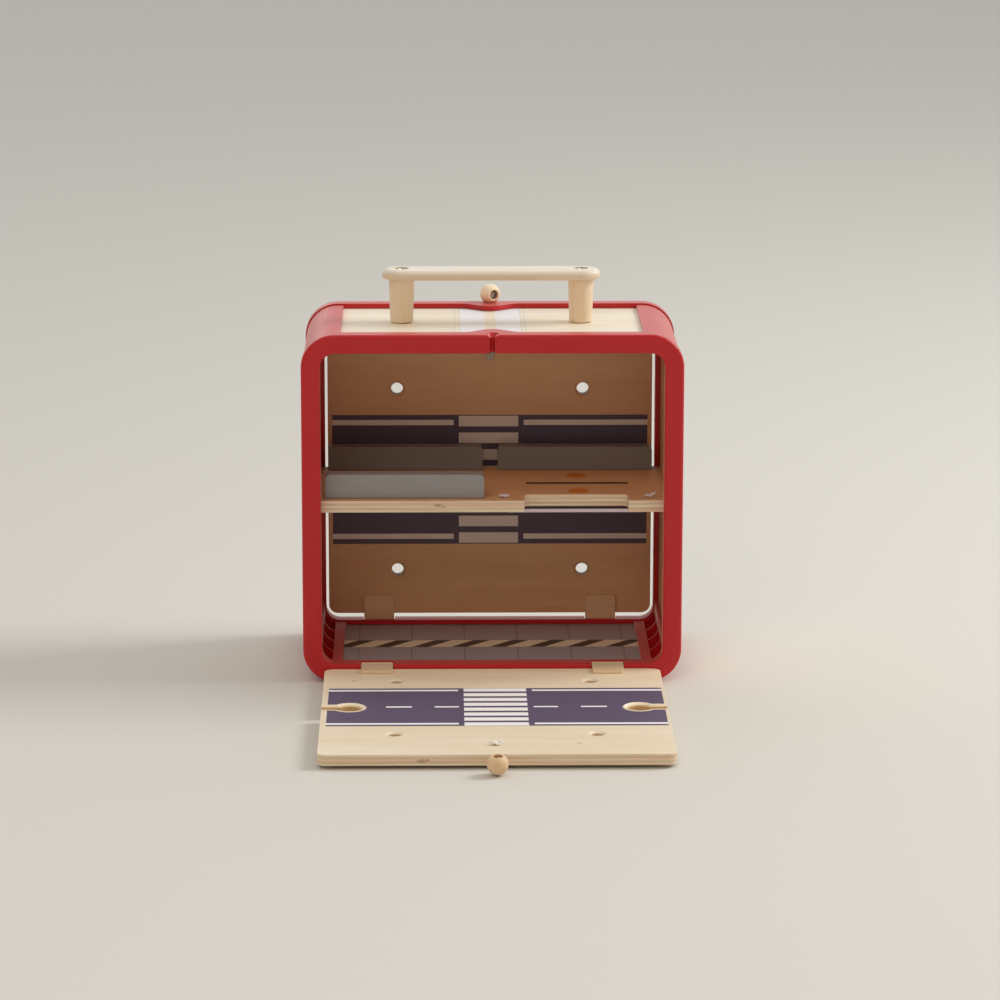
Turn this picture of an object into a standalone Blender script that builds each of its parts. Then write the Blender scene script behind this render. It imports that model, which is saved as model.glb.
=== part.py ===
"""Toy garage in a carry case: two red moulded frames joined by four ribbed corner shells, with plywood
panels between them, a plywood shelf, two fold-down doors with cord latches, and a wooden handle.

Units are metres and +Z is up. The case stands on Z = 0. Its front faces -Y, with the front door folded
down flat in front of it and the rear door closed. The origin is the centre of the whole footprint.
"""
import math

import bmesh
import bpy
from mathutils import Euler, Matrix, Vector

MM = 0.001

# Case
CASE_WIDTH = 210 * MM
CASE_HEIGHT = 196 * MM
CASE_DEPTH = 110 * MM
CORNER_RADIUS = 18.5 * MM
SEAT_GAP = 0.3 * MM

# Frames
RAIL_DEPTH = 9.6 * MM
FLANGE = 10.5 * MM
OUTER_EDGE_ROUND = 1.5 * MM
INNER_EDGE_ROUND = 1.2 * MM
GROOVE_DEPTH = 2.2 * MM

# Panels of plywood, held in grooves
PANEL_THICKNESS = 4.7 * MM
PANEL_RECESS = 2.9 * MM
PANEL_SOCKET = 4 * MM

# Corner shells
CORNER_RECESS = 0.8 * MM
CORNER_REACH = 21.6 * MM
CORNER_LIP = 1.8 * MM
CORNER_STOP = 1.6 * MM
RIB_COUNT = 5
RIB_THICKNESS = 2 * MM

# Thumb swells on the top rails, with the cord slot and the seat of the bead
SWELL_REACH = 9.5 * MM
SWELL_WIDTH = 32 * MM
SLOT_WIDTH = 3.3 * MM
SEAT_INSET = 5 * MM
SEAT_WIDTH = 7.0 * MM
SEAT_DEPTH = 2.4 * MM

# Doors
DOOR_THICKNESS = 6 * MM
DOOR_PROUD = 2 * MM
DOOR_SIDE_GAP = 1.5 * MM
DOOR_TOP_GAP = 0.8 * MM
DOOR_BOTTOM_GAP = 2.7 * MM
DOOR_CORNER = 5 * MM
DOOR_EDGE_ROUND = 0.7 * MM
OPEN_DOOR_HEIGHT = 1.9 * MM
OPEN_DOOR_GAP = 0.3 * MM
ROAD_HEIGHT = 79.1 * MM
PEG_SPACING = 106.4 * MM
PEG_HOLE = 7 * MM
PEG_RIM = 9.6 * MM
PEG_RIM_DEPTH = 0.9 * MM
TRACK_HOLE = 12 * MM
TRACK_RIM = 17 * MM
TRACK_INSET = 15.2 * MM
TRACK_NECK = 6.6 * MM
TRACK_NECK_RIM = 10 * MM
TRACK_RIM_DEPTH = 1.6 * MM

# Hinges
TAB_SIDE_GAP = 41 * MM
TAB_WIDTH = 17.4 * MM
TAB_THICKNESS = 1.8 * MM
TAB_OVERLAP = 11 * MM
TAB_CORNER = 1.8 * MM
KNUCKLE_DIAMETER = 4.2 * MM
NOTCH_GAP = 0.4 * MM
PIN_DIAMETER = 1.6 * MM
PIN_REACH = 5 * MM

# Latches
BEAD_DIAMETER = 11.3 * MM
BEAD_FACET = 6.8 * MM
BEAD_BORE = 4.8 * MM
BEAD_BORE_EDGE = 0.3 * MM
BEAD_LIFT = 4.8 * MM
BEAD_REST = 12 * MM
LATCH_CORD = 1.3 * MM
LATCH_INSET = 20 * MM
LATCH_HOLE = 2.7 * MM
LATCH_KNOT = 5.4 * MM
BEAD_KNOT = 3.2 * MM
FRONT_BEAD_TILT = math.radians(6)
REAR_BEAD_TURN = math.radians(30)

# Shelf
SHELF_THICKNESS = 6.5 * MM
SHELF_TOP = 101.2 * MM
SHELF_HOUSING = 1.6 * MM
BAY_LEFT = 17.9 * MM
BAY_SIDE_GAP = 29.5 * MM
BAY_DEPTH = 15.5 * MM
BAY_CORNER = 2.5 * MM
CARD_SLOT = 4.2 * MM
CARD_SLOT_SHIFT = 1.7 * MM
CARD_SLOT_PLACE = 45.4 * MM
SHELF_CORD = 2.0 * MM
SHELF_CORD_MARGIN = 11.7 * MM
SHELF_CORD_PLACE = 9.6 * MM
SHELF_CORD_HOLE = 3.0 * MM
SHELF_KNOT = 5.4 * MM

# Parking walls that stand on the shelf
WALL_SIDE_GAP = 5 * MM
WALL_MIDDLE_GAP = 8.8 * MM
WALL_THICKNESS = 9.8 * MM
WALL_HEIGHT = 13.6 * MM
WALL_CORNER = 2.5 * MM
WALL_FRONT_INSET = 5.5 * MM
WALL_REAR_INSET = 0.6 * MM

# Handle
HANDLE_LENGTH = 121.8 * MM
HANDLE_WIDTH = 20 * MM
HANDLE_THICKNESS = 5.7 * MM
HANDLE_ROUND = 3.4 * MM
HANDLE_LOWER_ROUND = 1.6 * MM
HANDLE_PLACE = 2.5 * MM
POST_SPACING = 100 * MM
POST_TOP = 14.3 * MM
POST_BOTTOM = 12.8 * MM
POST_HEIGHT = 24.1 * MM
SCREW_RECESS = 8 * MM
SCREW_RECESS_DEPTH = 2.4 * MM
SCREW_HEAD = 6.4 * MM
SCREW_HEAD_HEIGHT = 1.7 * MM
SCREW_SHANK = 3.0 * MM
SCREW_BITE = 9 * MM
SCREW_DRIVE = 2.6 * MM
SCREW_DRIVE_DEPTH = 0.8 * MM

# Facets
ARC_STEPS = 8
ROUND_STEPS = 20
BEAD_STEPS = 24

# Sizes worked out from the ones above
GROOVE_OUTER = PANEL_RECESS - SEAT_GAP
GROOVE_INNER = PANEL_RECESS + PANEL_THICKNESS + SEAT_GAP
RAIL_INNER_Y = CASE_DEPTH / 2 - RAIL_DEPTH
TONGUE_Y = RAIL_INNER_Y + GROOVE_DEPTH - SEAT_GAP
PANEL_END = CORNER_REACH - PANEL_SOCKET + SEAT_GAP
PANEL_INNER = PANEL_RECESS + PANEL_THICKNESS
DOOR_WIDTH = CASE_WIDTH - 2 * FLANGE - 2 * DOOR_SIDE_GAP
DOOR_BOTTOM = FLANGE + DOOR_BOTTOM_GAP
DOOR_TOP = CASE_HEIGHT - FLANGE - DOOR_TOP_GAP
DOOR_INNER_FACE = DOOR_THICKNESS - DOOR_PROUD
TAB_SPACING = CASE_WIDTH - 2 * TAB_SIDE_GAP
PIVOT_SUM = DOOR_BOTTOM - OPEN_DOOR_GAP
PIVOT_DIFFERENCE = DOOR_PROUD + OPEN_DOOR_HEIGHT
PIVOT_INSET = (PIVOT_SUM - PIVOT_DIFFERENCE) / 2
PIVOT_HEIGHT = (PIVOT_SUM + PIVOT_DIFFERENCE) / 2
LATCH_HEIGHT = DOOR_TOP - LATCH_INSET
LATCH_RUN = -DOOR_PROUD - SEAT_GAP - LATCH_CORD / 2
BEAD_LENGTH = math.sqrt(BEAD_DIAMETER ** 2 - BEAD_FACET ** 2)
BEAD_SEAT_HEIGHT = CASE_HEIGHT + BEAD_LIFT
FRONT_BEAD_HEIGHT = DOOR_TOP + BEAD_REST
FRONT_BEAD_INSET = PIVOT_INSET + 1.5 * SEAT_GAP + BEAD_DIAMETER / 2 - PIVOT_HEIGHT
SHELF_HALF = CASE_WIDTH / 2 - PANEL_INNER + SHELF_HOUSING - SEAT_GAP
SHELF_Y = RAIL_INNER_Y - SEAT_GAP
BAY_WIDTH = CASE_WIDTH / 2 - BAY_SIDE_GAP - BAY_LEFT
BAY_CENTRE = BAY_LEFT + BAY_WIDTH / 2
SHELF_CORD_SPACING = BAY_WIDTH + 2 * SHELF_CORD_MARGIN
CARD_SLOT_CENTRE = BAY_CENTRE + CARD_SLOT_SHIFT
WALL_LENGTH = CASE_WIDTH / 2 - PANEL_INNER - WALL_SIDE_GAP - WALL_MIDDLE_GAP / 2
WALL_PLACE = (WALL_LENGTH + WALL_MIDDLE_GAP) / 2
TOP_FACE = CASE_HEIGHT - PANEL_RECESS
HANDLE_UNDERSIDE = TOP_FACE + POST_HEIGHT + 2 * SEAT_GAP
HANDLE_TOP = HANDLE_UNDERSIDE + HANDLE_THICKNESS

# The footprint runs from the front bead to the cord behind the rear door
FRONT_REACH = CASE_DEPTH / 2 + FRONT_BEAD_HEIGHT - PIVOT_HEIGHT - PIVOT_INSET + BEAD_DIAMETER / 2
REAR_REACH = CASE_DEPTH / 2 - LATCH_RUN + LATCH_CORD / 2
CASE_PLACE = (FRONT_REACH - REAR_REACH) / 2


def remove_everything():
    for old in list(bpy.data.objects):
        bpy.data.objects.remove(old, do_unlink=True)


def new_collection(name):
    collection = bpy.data.collections.new(name)
    bpy.context.scene.collection.children.link(collection)
    return collection


def paint(name, colour, roughness, metallic=0.0, transmission=0.0):
    material = bpy.data.materials.new(name)
    material.use_nodes = True
    shader = material.node_tree.nodes["Principled BSDF"]
    shader.inputs["Base Color"].default_value = (*colour, 1.0)
    shader.inputs["Roughness"].default_value = roughness
    shader.inputs["Metallic"].default_value = metallic
    shader.inputs["Transmission Weight"].default_value = transmission
    material.diffuse_color = (*colour, 1.0)
    return material


# Outlines: lists of points in a plane

def arc(centre, radius, start, end, steps=ARC_STEPS):
    points = []
    for step in range(steps + 1):
        angle = math.radians(start + (end - start) * step / steps)
        points.append((centre[0] + radius * math.cos(angle), centre[1] + radius * math.sin(angle)))
    return points


def rounded_rectangle(left, bottom, right, top, radius, steps=ARC_STEPS):
    points = arc((right - radius, bottom + radius), radius, -90, 0, steps)
    points += arc((right - radius, top - radius), radius, 0, 90, steps)
    points += arc((left + radius, top - radius), radius, 90, 180, steps)
    points += arc((left + radius, bottom + radius), radius, 180, 270, steps)
    return points


def rectangle(left, bottom, right, top):
    return [(left, bottom), (right, bottom), (right, top), (left, top)]


# Solids

FACING = {
    "X": Matrix(((0, 0, 1, 0), (1, 0, 0, 0), (0, 1, 0, 0), (0, 0, 0, 1))),
    "Y": Matrix(((1, 0, 0, 0), (0, 0, -1, 0), (0, 1, 0, 0), (0, 0, 0, 1))),
    "Z": Matrix.Identity(4),
}


def object_from_curve(name, curve, collection, turn):
    """Turn a curve into a welded mesh object whose points are moved by the matrix turn."""
    drawn = bpy.data.objects.new(name + "_curve", curve)
    bpy.context.scene.collection.objects.link(drawn)
    evaluated = drawn.evaluated_get(bpy.context.evaluated_depsgraph_get())
    mesh = bpy.data.meshes.new_from_object(evaluated)
    bpy.data.objects.remove(drawn, do_unlink=True)
    bpy.data.curves.remove(curve)
    mesh.transform(turn)
    weld = bmesh.new()
    weld.from_mesh(mesh)
    bmesh.ops.remove_doubles(weld, verts=weld.verts, dist=1e-6)
    bmesh.ops.recalc_face_normals(weld, faces=weld.faces)
    weld.to_mesh(mesh)
    weld.free()
    mesh.name = name
    solid = bpy.data.objects.new(name, mesh)
    collection.objects.link(solid)
    return solid


def prism(name, loops, low, high, axis, collection):
    """An outline, and any holes in it, drawn out from low to high along an axis.

    The outline is in X and Z for axis Y, in Y and Z for axis X, and in X and Y for axis Z.
    """
    curve = bpy.data.curves.new(name, "CURVE")
    curve.dimensions = "2D"
    curve.fill_mode = "BOTH"
    curve.extrude = (high - low) / 2
    for loop in loops:
        spline = curve.splines.new("POLY")
        spline.points.add(len(loop) - 1)
        for point, (across, along) in zip(spline.points, loop):
            point.co = (across, along, 0, 1)
        spline.use_cyclic_u = True
    middle = (low + high) / 2
    shift = {"X": (middle, 0, 0), "Y": (0, middle, 0), "Z": (0, 0, middle)}[axis]
    return object_from_curve(name, curve, collection, Matrix.Translation(shift) @ FACING[axis])


def swept_ring(name, path, profile, collection):
    """A closed profile carried round a closed path in the XZ plane; profile is (outwards, along Y)."""
    section = bpy.data.curves.new(name + "_profile", "CURVE")
    section.dimensions = "2D"
    section.fill_mode = "NONE"
    loop = section.splines.new("POLY")
    loop.points.add(len(profile) - 1)
    for point, (outwards, along) in zip(loop.points, profile):
        point.co = (-outwards, -along, 0, 1)
    loop.use_cyclic_u = True
    guide = bpy.data.objects.new(name + "_profile", section)
    bpy.context.scene.collection.objects.link(guide)
    curve = bpy.data.curves.new(name, "CURVE")
    curve.dimensions = "2D"
    curve.fill_mode = "NONE"
    curve.bevel_mode = "OBJECT"
    curve.bevel_object = guide
    spline = curve.splines.new("POLY")
    spline.points.add(len(path) - 1)
    for point, (across, along) in zip(spline.points, path):
        point.co = (across, along, 0, 1)
    spline.use_cyclic_u = True
    ring = object_from_curve(name, curve, collection, FACING["Y"])
    bpy.data.objects.remove(guide, do_unlink=True)
    bpy.data.curves.remove(section)
    return ring


def turned(name, profile, collection, steps=ROUND_STEPS, closed=False):
    """A profile of (radius, height) points, from the top down its outer side, turned round Z."""
    mesh = bpy.data.meshes.new(name)
    shape = bmesh.new()
    points = [shape.verts.new((radius, 0, height)) for radius, height in profile]
    for first, second in zip(points, points[1:]):
        shape.edges.new((first, second))
    if closed:
        shape.edges.new((points[-1], points[0]))
    shape.to_mesh(mesh)
    shape.free()
    solid = bpy.data.objects.new(name, mesh)
    collection.objects.link(solid)
    screw = solid.modifiers.new("turn", "SCREW")
    screw.axis = "Z"
    screw.steps = steps
    screw.render_steps = steps
    screw.use_merge_vertices = True
    screw.merge_threshold = 1e-6
    return solid


def round_bar(name, start, end, radius, collection, steps=ROUND_STEPS):
    """A straight cylinder between two points."""
    start = Vector(start)
    end = Vector(end)
    mesh = bpy.data.meshes.new(name)
    shape = bmesh.new()
    turn = (end - start).to_track_quat("Z", "Y").to_matrix().to_4x4()
    place = Matrix.Translation((start + end) / 2) @ turn
    bmesh.ops.create_cone(shape, cap_ends=True, segments=steps, radius1=radius, radius2=radius,
                          depth=(end - start).length, matrix=place)
    shape.to_mesh(mesh)
    shape.free()
    solid = bpy.data.objects.new(name, mesh)
    collection.objects.link(solid)
    return solid


def ball(name, centre, radii, collection, steps=12):
    """A ball drawn out to three half-widths, as for the lump of a knot."""
    mesh = bpy.data.meshes.new(name)
    shape = bmesh.new()
    size = Matrix.Diagonal((*radii, 1))
    bmesh.ops.create_uvsphere(shape, u_segments=steps, v_segments=steps // 2, radius=1,
                              matrix=Matrix.Translation(centre) @ size)
    shape.to_mesh(mesh)
    shape.free()
    solid = bpy.data.objects.new(name, mesh)
    collection.objects.link(solid)
    return solid


def smooth_route(points, spacing):
    """Points every spacing or so along a smooth curve through the given points."""
    route = []
    ends = [points[0] * 2 - points[1]] + points + [points[-1] * 2 - points[-2]]
    for before, start, end, after in zip(ends, ends[1:], ends[2:], ends[3:]):
        count = max(1, round((end - start).length / spacing))
        for step in range(count):
            t = step / count
            route.append(0.5 * (2 * start + (end - before) * t
                                + (2 * before - 5 * start + 4 * end - after) * t ** 2
                                + (3 * start - before - 3 * end + after) * t ** 3))
    route.append(points[-1])
    return route


def cord(name, points, diameter, collection):
    curve = bpy.data.curves.new(name, "CURVE")
    curve.dimensions = "3D"
    curve.bevel_depth = diameter / 2
    curve.bevel_resolution = 2
    curve.use_fill_caps = True
    route = smooth_route([Vector(point) for point in points], 2.2 * diameter)
    spline = curve.splines.new("POLY")
    spline.points.add(len(route) - 1)
    for point, place in zip(spline.points, route):
        point.co = (*place, 1)
    return object_from_curve(name, curve, collection, Matrix.Identity(4))


# Modifiers and placing

def combine(solid, tool, operation):
    step = solid.modifiers.new(tool.name, "BOOLEAN")
    step.operation = operation
    step.solver = "EXACT"
    step.object = tool
    tool.hide_render = True
    tool.display_type = "WIRE"


def cut(solid, *tools):
    for tool in tools:
        combine(solid, tool, "DIFFERENCE")


def join(solid, *tools):
    for tool in tools:
        combine(solid, tool, "UNION")


def round_edges(solid, width, segments=2, angle=50):
    bevel = solid.modifiers.new("round", "BEVEL")
    bevel.width = width
    bevel.segments = segments
    bevel.limit_method = "ANGLE"
    bevel.angle_limit = math.radians(angle)
    bevel.harden_normals = False


def finish(solid, material, parent, smooth=True):
    """Give a solid its material, its parent and its shading."""
    solid.data.materials.clear()
    solid.data.materials.append(material)
    solid.parent = parent
    if smooth:
        solid.data.shade_smooth()
        solid.data.set_sharp_from_angle(angle=math.radians(35))
    return solid


def joint_empty(name, parent, place, turn=(0, 0, 0)):
    empty = bpy.data.objects.new(name, None)
    bpy.context.scene.collection.objects.link(empty)
    empty.empty_display_size = 10 * MM
    empty.parent = parent
    empty.location = place
    empty.rotation_euler = Euler(turn)
    return empty


# Frames. Y is measured inwards from the frame's outer face; the rear frame is the front one turned round.

def frame_profile():
    """Section of a rail, as (outwards from mid-flange, inwards from the outer face)."""
    half = FLANGE / 2
    outer = half - GROOVE_OUTER
    inner = half - GROOVE_INNER
    section = arc((half - OUTER_EDGE_ROUND, OUTER_EDGE_ROUND), OUTER_EDGE_ROUND, -90, 0, 3)
    section += [(half, RAIL_DEPTH), (outer, RAIL_DEPTH)]
    section += [(outer, RAIL_DEPTH - GROOVE_DEPTH), (inner, RAIL_DEPTH - GROOVE_DEPTH)]
    section += [(inner, RAIL_DEPTH), (-half, RAIL_DEPTH)]
    section += arc((INNER_EDGE_ROUND - half, INNER_EDGE_ROUND), INNER_EDGE_ROUND, 180, 270, 3)
    return section


def swell_outline():
    """The rail's inner edge swells inwards in a smooth wave, as (across, inwards)."""
    half = SWELL_WIDTH / 2
    start = RAIL_DEPTH - GROOVE_DEPTH
    wave = []
    steps = 16
    for step in range(steps + 1):
        across = -half + SWELL_WIDTH * step / steps
        rise = SWELL_REACH * (1 + math.cos(math.pi * across / half)) / 2
        wave.append((across, RAIL_DEPTH + rise))
    return [(half, start), (-half, start)] + wave


def make_frame(name, side, solids, cutters, material):
    middle = FLANGE / 2
    path = rounded_rectangle(middle - CASE_WIDTH / 2, middle, CASE_WIDTH / 2 - middle,
                             CASE_HEIGHT - middle, CORNER_RADIUS - middle, 10)
    ring = swept_ring(name, path, frame_profile(), solids)

    swell = prism(name + "_swell", [swell_outline()], CASE_HEIGHT - GROOVE_OUTER, CASE_HEIGHT, "Z", cutters)
    join(ring, swell)

    beyond = 2 * MM
    slot = [(SLOT_WIDTH / 2, -beyond)]
    slot += arc((0, SEAT_INSET), SLOT_WIDTH / 2, 0, 180)
    slot += [(-SLOT_WIDTH / 2, -beyond)]
    slot_tool = prism(name + "_slot", [slot], CASE_HEIGHT - FLANGE - beyond, CASE_HEIGHT + beyond, "Z", cutters)

    clear = BEAD_DIAMETER / 2 + SEAT_GAP
    trough = arc((0, CASE_HEIGHT + BEAD_LIFT), clear, 180, 360, 24)
    trough_tool = prism(name + "_trough", [trough], -beyond, SEAT_INSET, "Y", cutters)
    dish = [(0, CASE_HEIGHT + beyond), (SEAT_WIDTH / 2, CASE_HEIGHT + beyond), (SEAT_WIDTH / 2, CASE_HEIGHT),
            (SLOT_WIDTH / 2, CASE_HEIGHT - SEAT_DEPTH), (0, CASE_HEIGHT - SEAT_DEPTH)]
    dish_tool = turned(name + "_dish", dish, cutters)
    dish_tool.location.y = SEAT_INSET
    cut(ring, slot_tool, trough_tool, dish_tool)
    tools = [swell, slot_tool, trough_tool, dish_tool]

    knuckle = KNUCKLE_DIAMETER / 2
    half_notch = TAB_WIDTH / 2 + NOTCH_GAP
    for hand in (-1, 1):
        centre = hand * TAB_SPACING / 2
        notch = rectangle(-beyond, PIVOT_HEIGHT - knuckle - NOTCH_GAP,
                          PIVOT_INSET + knuckle + NOTCH_GAP, FLANGE + beyond)
        notch_tool = prism(f"{name}_notch_{hand}", [notch], centre - half_notch, centre + half_notch,
                           "X", cutters)
        reach = half_notch + PIN_REACH + SEAT_GAP
        bore_tool = round_bar(f"{name}_pin_bore_{hand}", (centre - reach, PIVOT_INSET, PIVOT_HEIGHT),
                              (centre + reach, PIVOT_INSET, PIVOT_HEIGHT),
                              PIN_DIAMETER / 2 + SEAT_GAP, cutters, 12)
        cut(ring, notch_tool, bore_tool)
        tools += [notch_tool, bore_tool]
    for tool in tools:
        tool.parent = side
    return finish(ring, material, side)


# Corner shells: drawn in the corner's own plane, with the case's two outer faces as its axes

def corner_round(depth, end, steps=10):
    """The round of a corner at a depth below the outer faces, stopping short of end on both sides."""
    radius = CORNER_RADIUS - depth
    tilt = math.degrees(math.asin(max(0, CORNER_RADIUS - end) / radius))
    return arc((CORNER_RADIUS, CORNER_RADIUS), radius, 180 + tilt, 270 - tilt, steps)


def corner_body_outline():
    """The full section of a rib: the L with a socket for a panel's edge in each arm."""
    lip_end = GROOVE_INNER + CORNER_LIP
    stop = CORNER_REACH - PANEL_SOCKET
    outline = [(CORNER_RECESS, CORNER_REACH)] + corner_round(CORNER_RECESS, CORNER_REACH)
    outline += [(CORNER_REACH, CORNER_RECESS), (CORNER_REACH, GROOVE_OUTER), (stop, GROOVE_OUTER)]
    outline += [(stop, GROOVE_INNER), (CORNER_REACH, GROOVE_INNER), (CORNER_REACH, lip_end)]
    outline += corner_round(lip_end, CORNER_REACH, 8)[::-1]
    outline += [(lip_end, CORNER_REACH), (GROOVE_INNER, CORNER_REACH), (GROOVE_INNER, stop)]
    outline += [(GROOVE_OUTER, stop), (GROOVE_OUTER, CORNER_REACH)]
    return outline


def tongue_outline():
    """The shell's ends go on as tongues, as thick as a panel, into the grooves of the frames."""
    end = PANEL_END - 2 * SEAT_GAP
    return corner_round(PANEL_RECESS, end) + corner_round(PANEL_INNER, end)[::-1]


def pocket_outline():
    """The hollow between two ribs, open towards the inside of the case."""
    edge = CORNER_REACH - PANEL_SOCKET - CORNER_STOP
    return corner_round(GROOVE_OUTER, edge) + [(edge, edge)]


def turn_corner(outline, hand, top):
    """Turn a corner's outline so that it points into the case from the left or right, top or bottom."""
    return [(-hand * across, -up if top else up) for across, up in outline]


def make_corner(name, hand, top, case, solids, cutters, material):
    place = joint_empty(name + "_place", case, (hand * CASE_WIDTH / 2, 0, CASE_HEIGHT if top else 0))
    body_y = RAIL_INNER_Y - SEAT_GAP
    shell = prism(name, [turn_corner(corner_body_outline(), hand, top)], -body_y, body_y, "Y", solids)
    tongue = prism(name + "_tongue", [turn_corner(tongue_outline(), hand, top)], -TONGUE_Y, TONGUE_Y,
                   "Y", cutters)
    join(shell, tongue)
    tongue.parent = place
    pitch = (2 * body_y - RIB_THICKNESS) / (RIB_COUNT - 1)
    for bay in range(RIB_COUNT - 1):
        start = -body_y + RIB_THICKNESS + bay * pitch
        pocket = prism(f"{name}_pocket_{bay}", [turn_corner(pocket_outline(), hand, top)],
                       start, start + pitch - RIB_THICKNESS, "Y", cutters)
        cut(shell, pocket)
        pocket.parent = place
    return finish(shell, material, place)


# Panels

def make_side_panel(name, hand, case, solids, cutters, material):
    outer = hand * (CASE_WIDTH / 2 - PANEL_RECESS)
    inner = hand * (CASE_WIDTH / 2 - PANEL_INNER)
    board = rectangle(-TONGUE_Y, PANEL_END, TONGUE_Y, CASE_HEIGHT - PANEL_END)
    panel = prism(name, [board], min(outer, inner), max(outer, inner), "X", solids)
    bed = inner + hand * SHELF_HOUSING
    beyond = inner - hand * MM
    housing = rectangle(-CASE_DEPTH / 2, SHELF_TOP - SHELF_THICKNESS - SEAT_GAP, CASE_DEPTH / 2,
                        SHELF_TOP + SEAT_GAP)
    housing_tool = prism(name + "_housing", [housing], min(bed, beyond), max(bed, beyond), "X", cutters)
    housing_tool.parent = case
    cut(panel, housing_tool)
    return finish(panel, material, case, smooth=False)


def make_flat_panel(name, low, case, solids, material):
    half = CASE_WIDTH / 2 - PANEL_END
    board = rectangle(-half, -TONGUE_Y, half, TONGUE_Y)
    panel = prism(name, [board], low, low + PANEL_THICKNESS, "Z", solids)
    return finish(panel, material, case, smooth=False)


# Doors are drawn closed, in the front frame's space, and turn about the hinge

def door_space(loop):
    """Move an outline of (across, height) from the case's floor to the hinge's axis."""
    return [(across, height - PIVOT_HEIGHT) for across, height in loop]


def stepped_bore(name, centre, bore, rim, rim_depth, collection, steps=ROUND_STEPS):
    """A cutter for a through hole with a sloping rim on the door's inner face."""
    inner = DOOR_INNER_FACE - PIVOT_INSET
    over = MM
    slope = (rim - bore) / 2 / rim_depth
    profile = [(0, inner + over), (rim / 2 + slope * over, inner + over), (bore / 2, inner - rim_depth),
               (bore / 2, inner - DOOR_THICKNESS - over), (0, inner - DOOR_THICKNESS - over)]
    tool = turned(name, profile, collection, steps)
    tool.matrix_local = Matrix.Translation((centre[0], 0, centre[1])) @ Matrix.Rotation(-math.pi / 2, 4, "X")
    return tool


def make_door(name, hinge, with_track, solids, cutters, material):
    outline = rounded_rectangle(-DOOR_WIDTH / 2, DOOR_BOTTOM, DOOR_WIDTH / 2, DOOR_TOP, DOOR_CORNER, 5)
    outer = -DOOR_PROUD - PIVOT_INSET
    inner = DOOR_INNER_FACE - PIVOT_INSET
    door = prism(name, [door_space(outline)], outer, inner, "Y", solids)
    round_edges(door, DOOR_EDGE_ROUND, 2)
    road = DOOR_BOTTOM + ROAD_HEIGHT - PIVOT_HEIGHT
    tools = []
    for across in (-1, 1):
        for up in (-1, 1):
            centre = (across * PEG_SPACING / 2, road + up * PEG_SPACING / 2)
            tools.append(stepped_bore(f"{name}_peg_{across}_{up}", centre, PEG_HOLE, PEG_RIM,
                                      PEG_RIM_DEPTH, cutters, 16))
    latch = (0, LATCH_HEIGHT - PIVOT_HEIGHT)
    tools.append(round_bar(name + "_latch_hole", (latch[0], outer - MM, latch[1]),
                           (latch[0], inner + MM, latch[1]), LATCH_HOLE / 2, cutters, 12))
    if with_track:
        for hand in (-1, 1):
            middle = hand * (DOOR_WIDTH / 2 - TRACK_INSET)
            tools.append(stepped_bore(f"{name}_track_{hand}", (middle, road), TRACK_HOLE, TRACK_RIM,
                                      TRACK_RIM_DEPTH, cutters, 32))
            over = MM
            slope = (TRACK_NECK_RIM - TRACK_NECK) / 2 / TRACK_RIM_DEPTH
            top = TRACK_NECK_RIM / 2 + slope * over
            half = TRACK_NECK / 2
            bend = inner - TRACK_RIM_DEPTH
            neck = [(outer - over, road - half), (bend, road - half), (inner + over, road - top),
                    (inner + over, road + top), (bend, road + half), (outer - over, road + half)]
            ends = sorted((middle, hand * (DOOR_WIDTH / 2 + over)))
            tools.append(prism(f"{name}_neck_{hand}", [neck], ends[0], ends[1], "X", cutters))
    cut(door, *tools)
    for tool in tools:
        tool.parent = hinge
    return finish(door, material, hinge, smooth=False)


def make_hinge_tab(name, hand, hinge, solids, cutters, material):
    """A leaf on the door's inner face, with a knuckle round the pin at its lower end."""
    centre = hand * TAB_SPACING / 2
    left = centre - TAB_WIDTH / 2
    right = centre + TAB_WIDTH / 2
    glued = DOOR_INNER_FACE + SEAT_GAP - PIVOT_INSET
    top = DOOR_BOTTOM + TAB_OVERLAP - PIVOT_HEIGHT
    leaf = [(left, 0), (right, 0)]
    leaf += arc((right - TAB_CORNER, top - TAB_CORNER), TAB_CORNER, 0, 90, 4)
    leaf += arc((left + TAB_CORNER, top - TAB_CORNER), TAB_CORNER, 90, 180, 4)
    tab = prism(name, [leaf], glued, glued + TAB_THICKNESS, "Y", solids)
    knuckle = round_bar(name + "_knuckle", (left, 0, 0), (right, 0, 0), KNUCKLE_DIAMETER / 2, cutters, 20)
    bore = round_bar(name + "_bore", (left - MM, 0, 0), (right + MM, 0, 0),
                     PIN_DIAMETER / 2 + SEAT_GAP, cutters, 12)
    join(tab, knuckle)
    cut(tab, bore)
    knuckle.parent = hinge
    bore.parent = hinge
    return finish(tab, material, hinge, smooth=False)


def make_hinge_pin(name, hand, side, solids, material):
    """A pin fixed in the frame's lip, across the notch."""
    centre = hand * TAB_SPACING / 2
    half = TAB_WIDTH / 2 + NOTCH_GAP + PIN_REACH
    pin = round_bar(name, (centre - half, PIVOT_INSET, PIVOT_HEIGHT), (centre + half, PIVOT_INSET, PIVOT_HEIGHT),
                    PIN_DIAMETER / 2, solids, 12)
    return finish(pin, material, side)


# Latches

def bead_profile():
    half = BEAD_LENGTH / 2
    edge = math.degrees(math.asin(BEAD_FACET / BEAD_DIAMETER))
    outside = arc((0, 0), BEAD_DIAMETER / 2, 90 - edge, edge - 90, 12)
    bore = BEAD_BORE / 2
    inside = [(bore + BEAD_BORE_EDGE, -half), (bore, BEAD_BORE_EDGE - half),
              (bore, half - BEAD_BORE_EDGE), (bore + BEAD_BORE_EDGE, half)]
    return outside + inside


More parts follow.
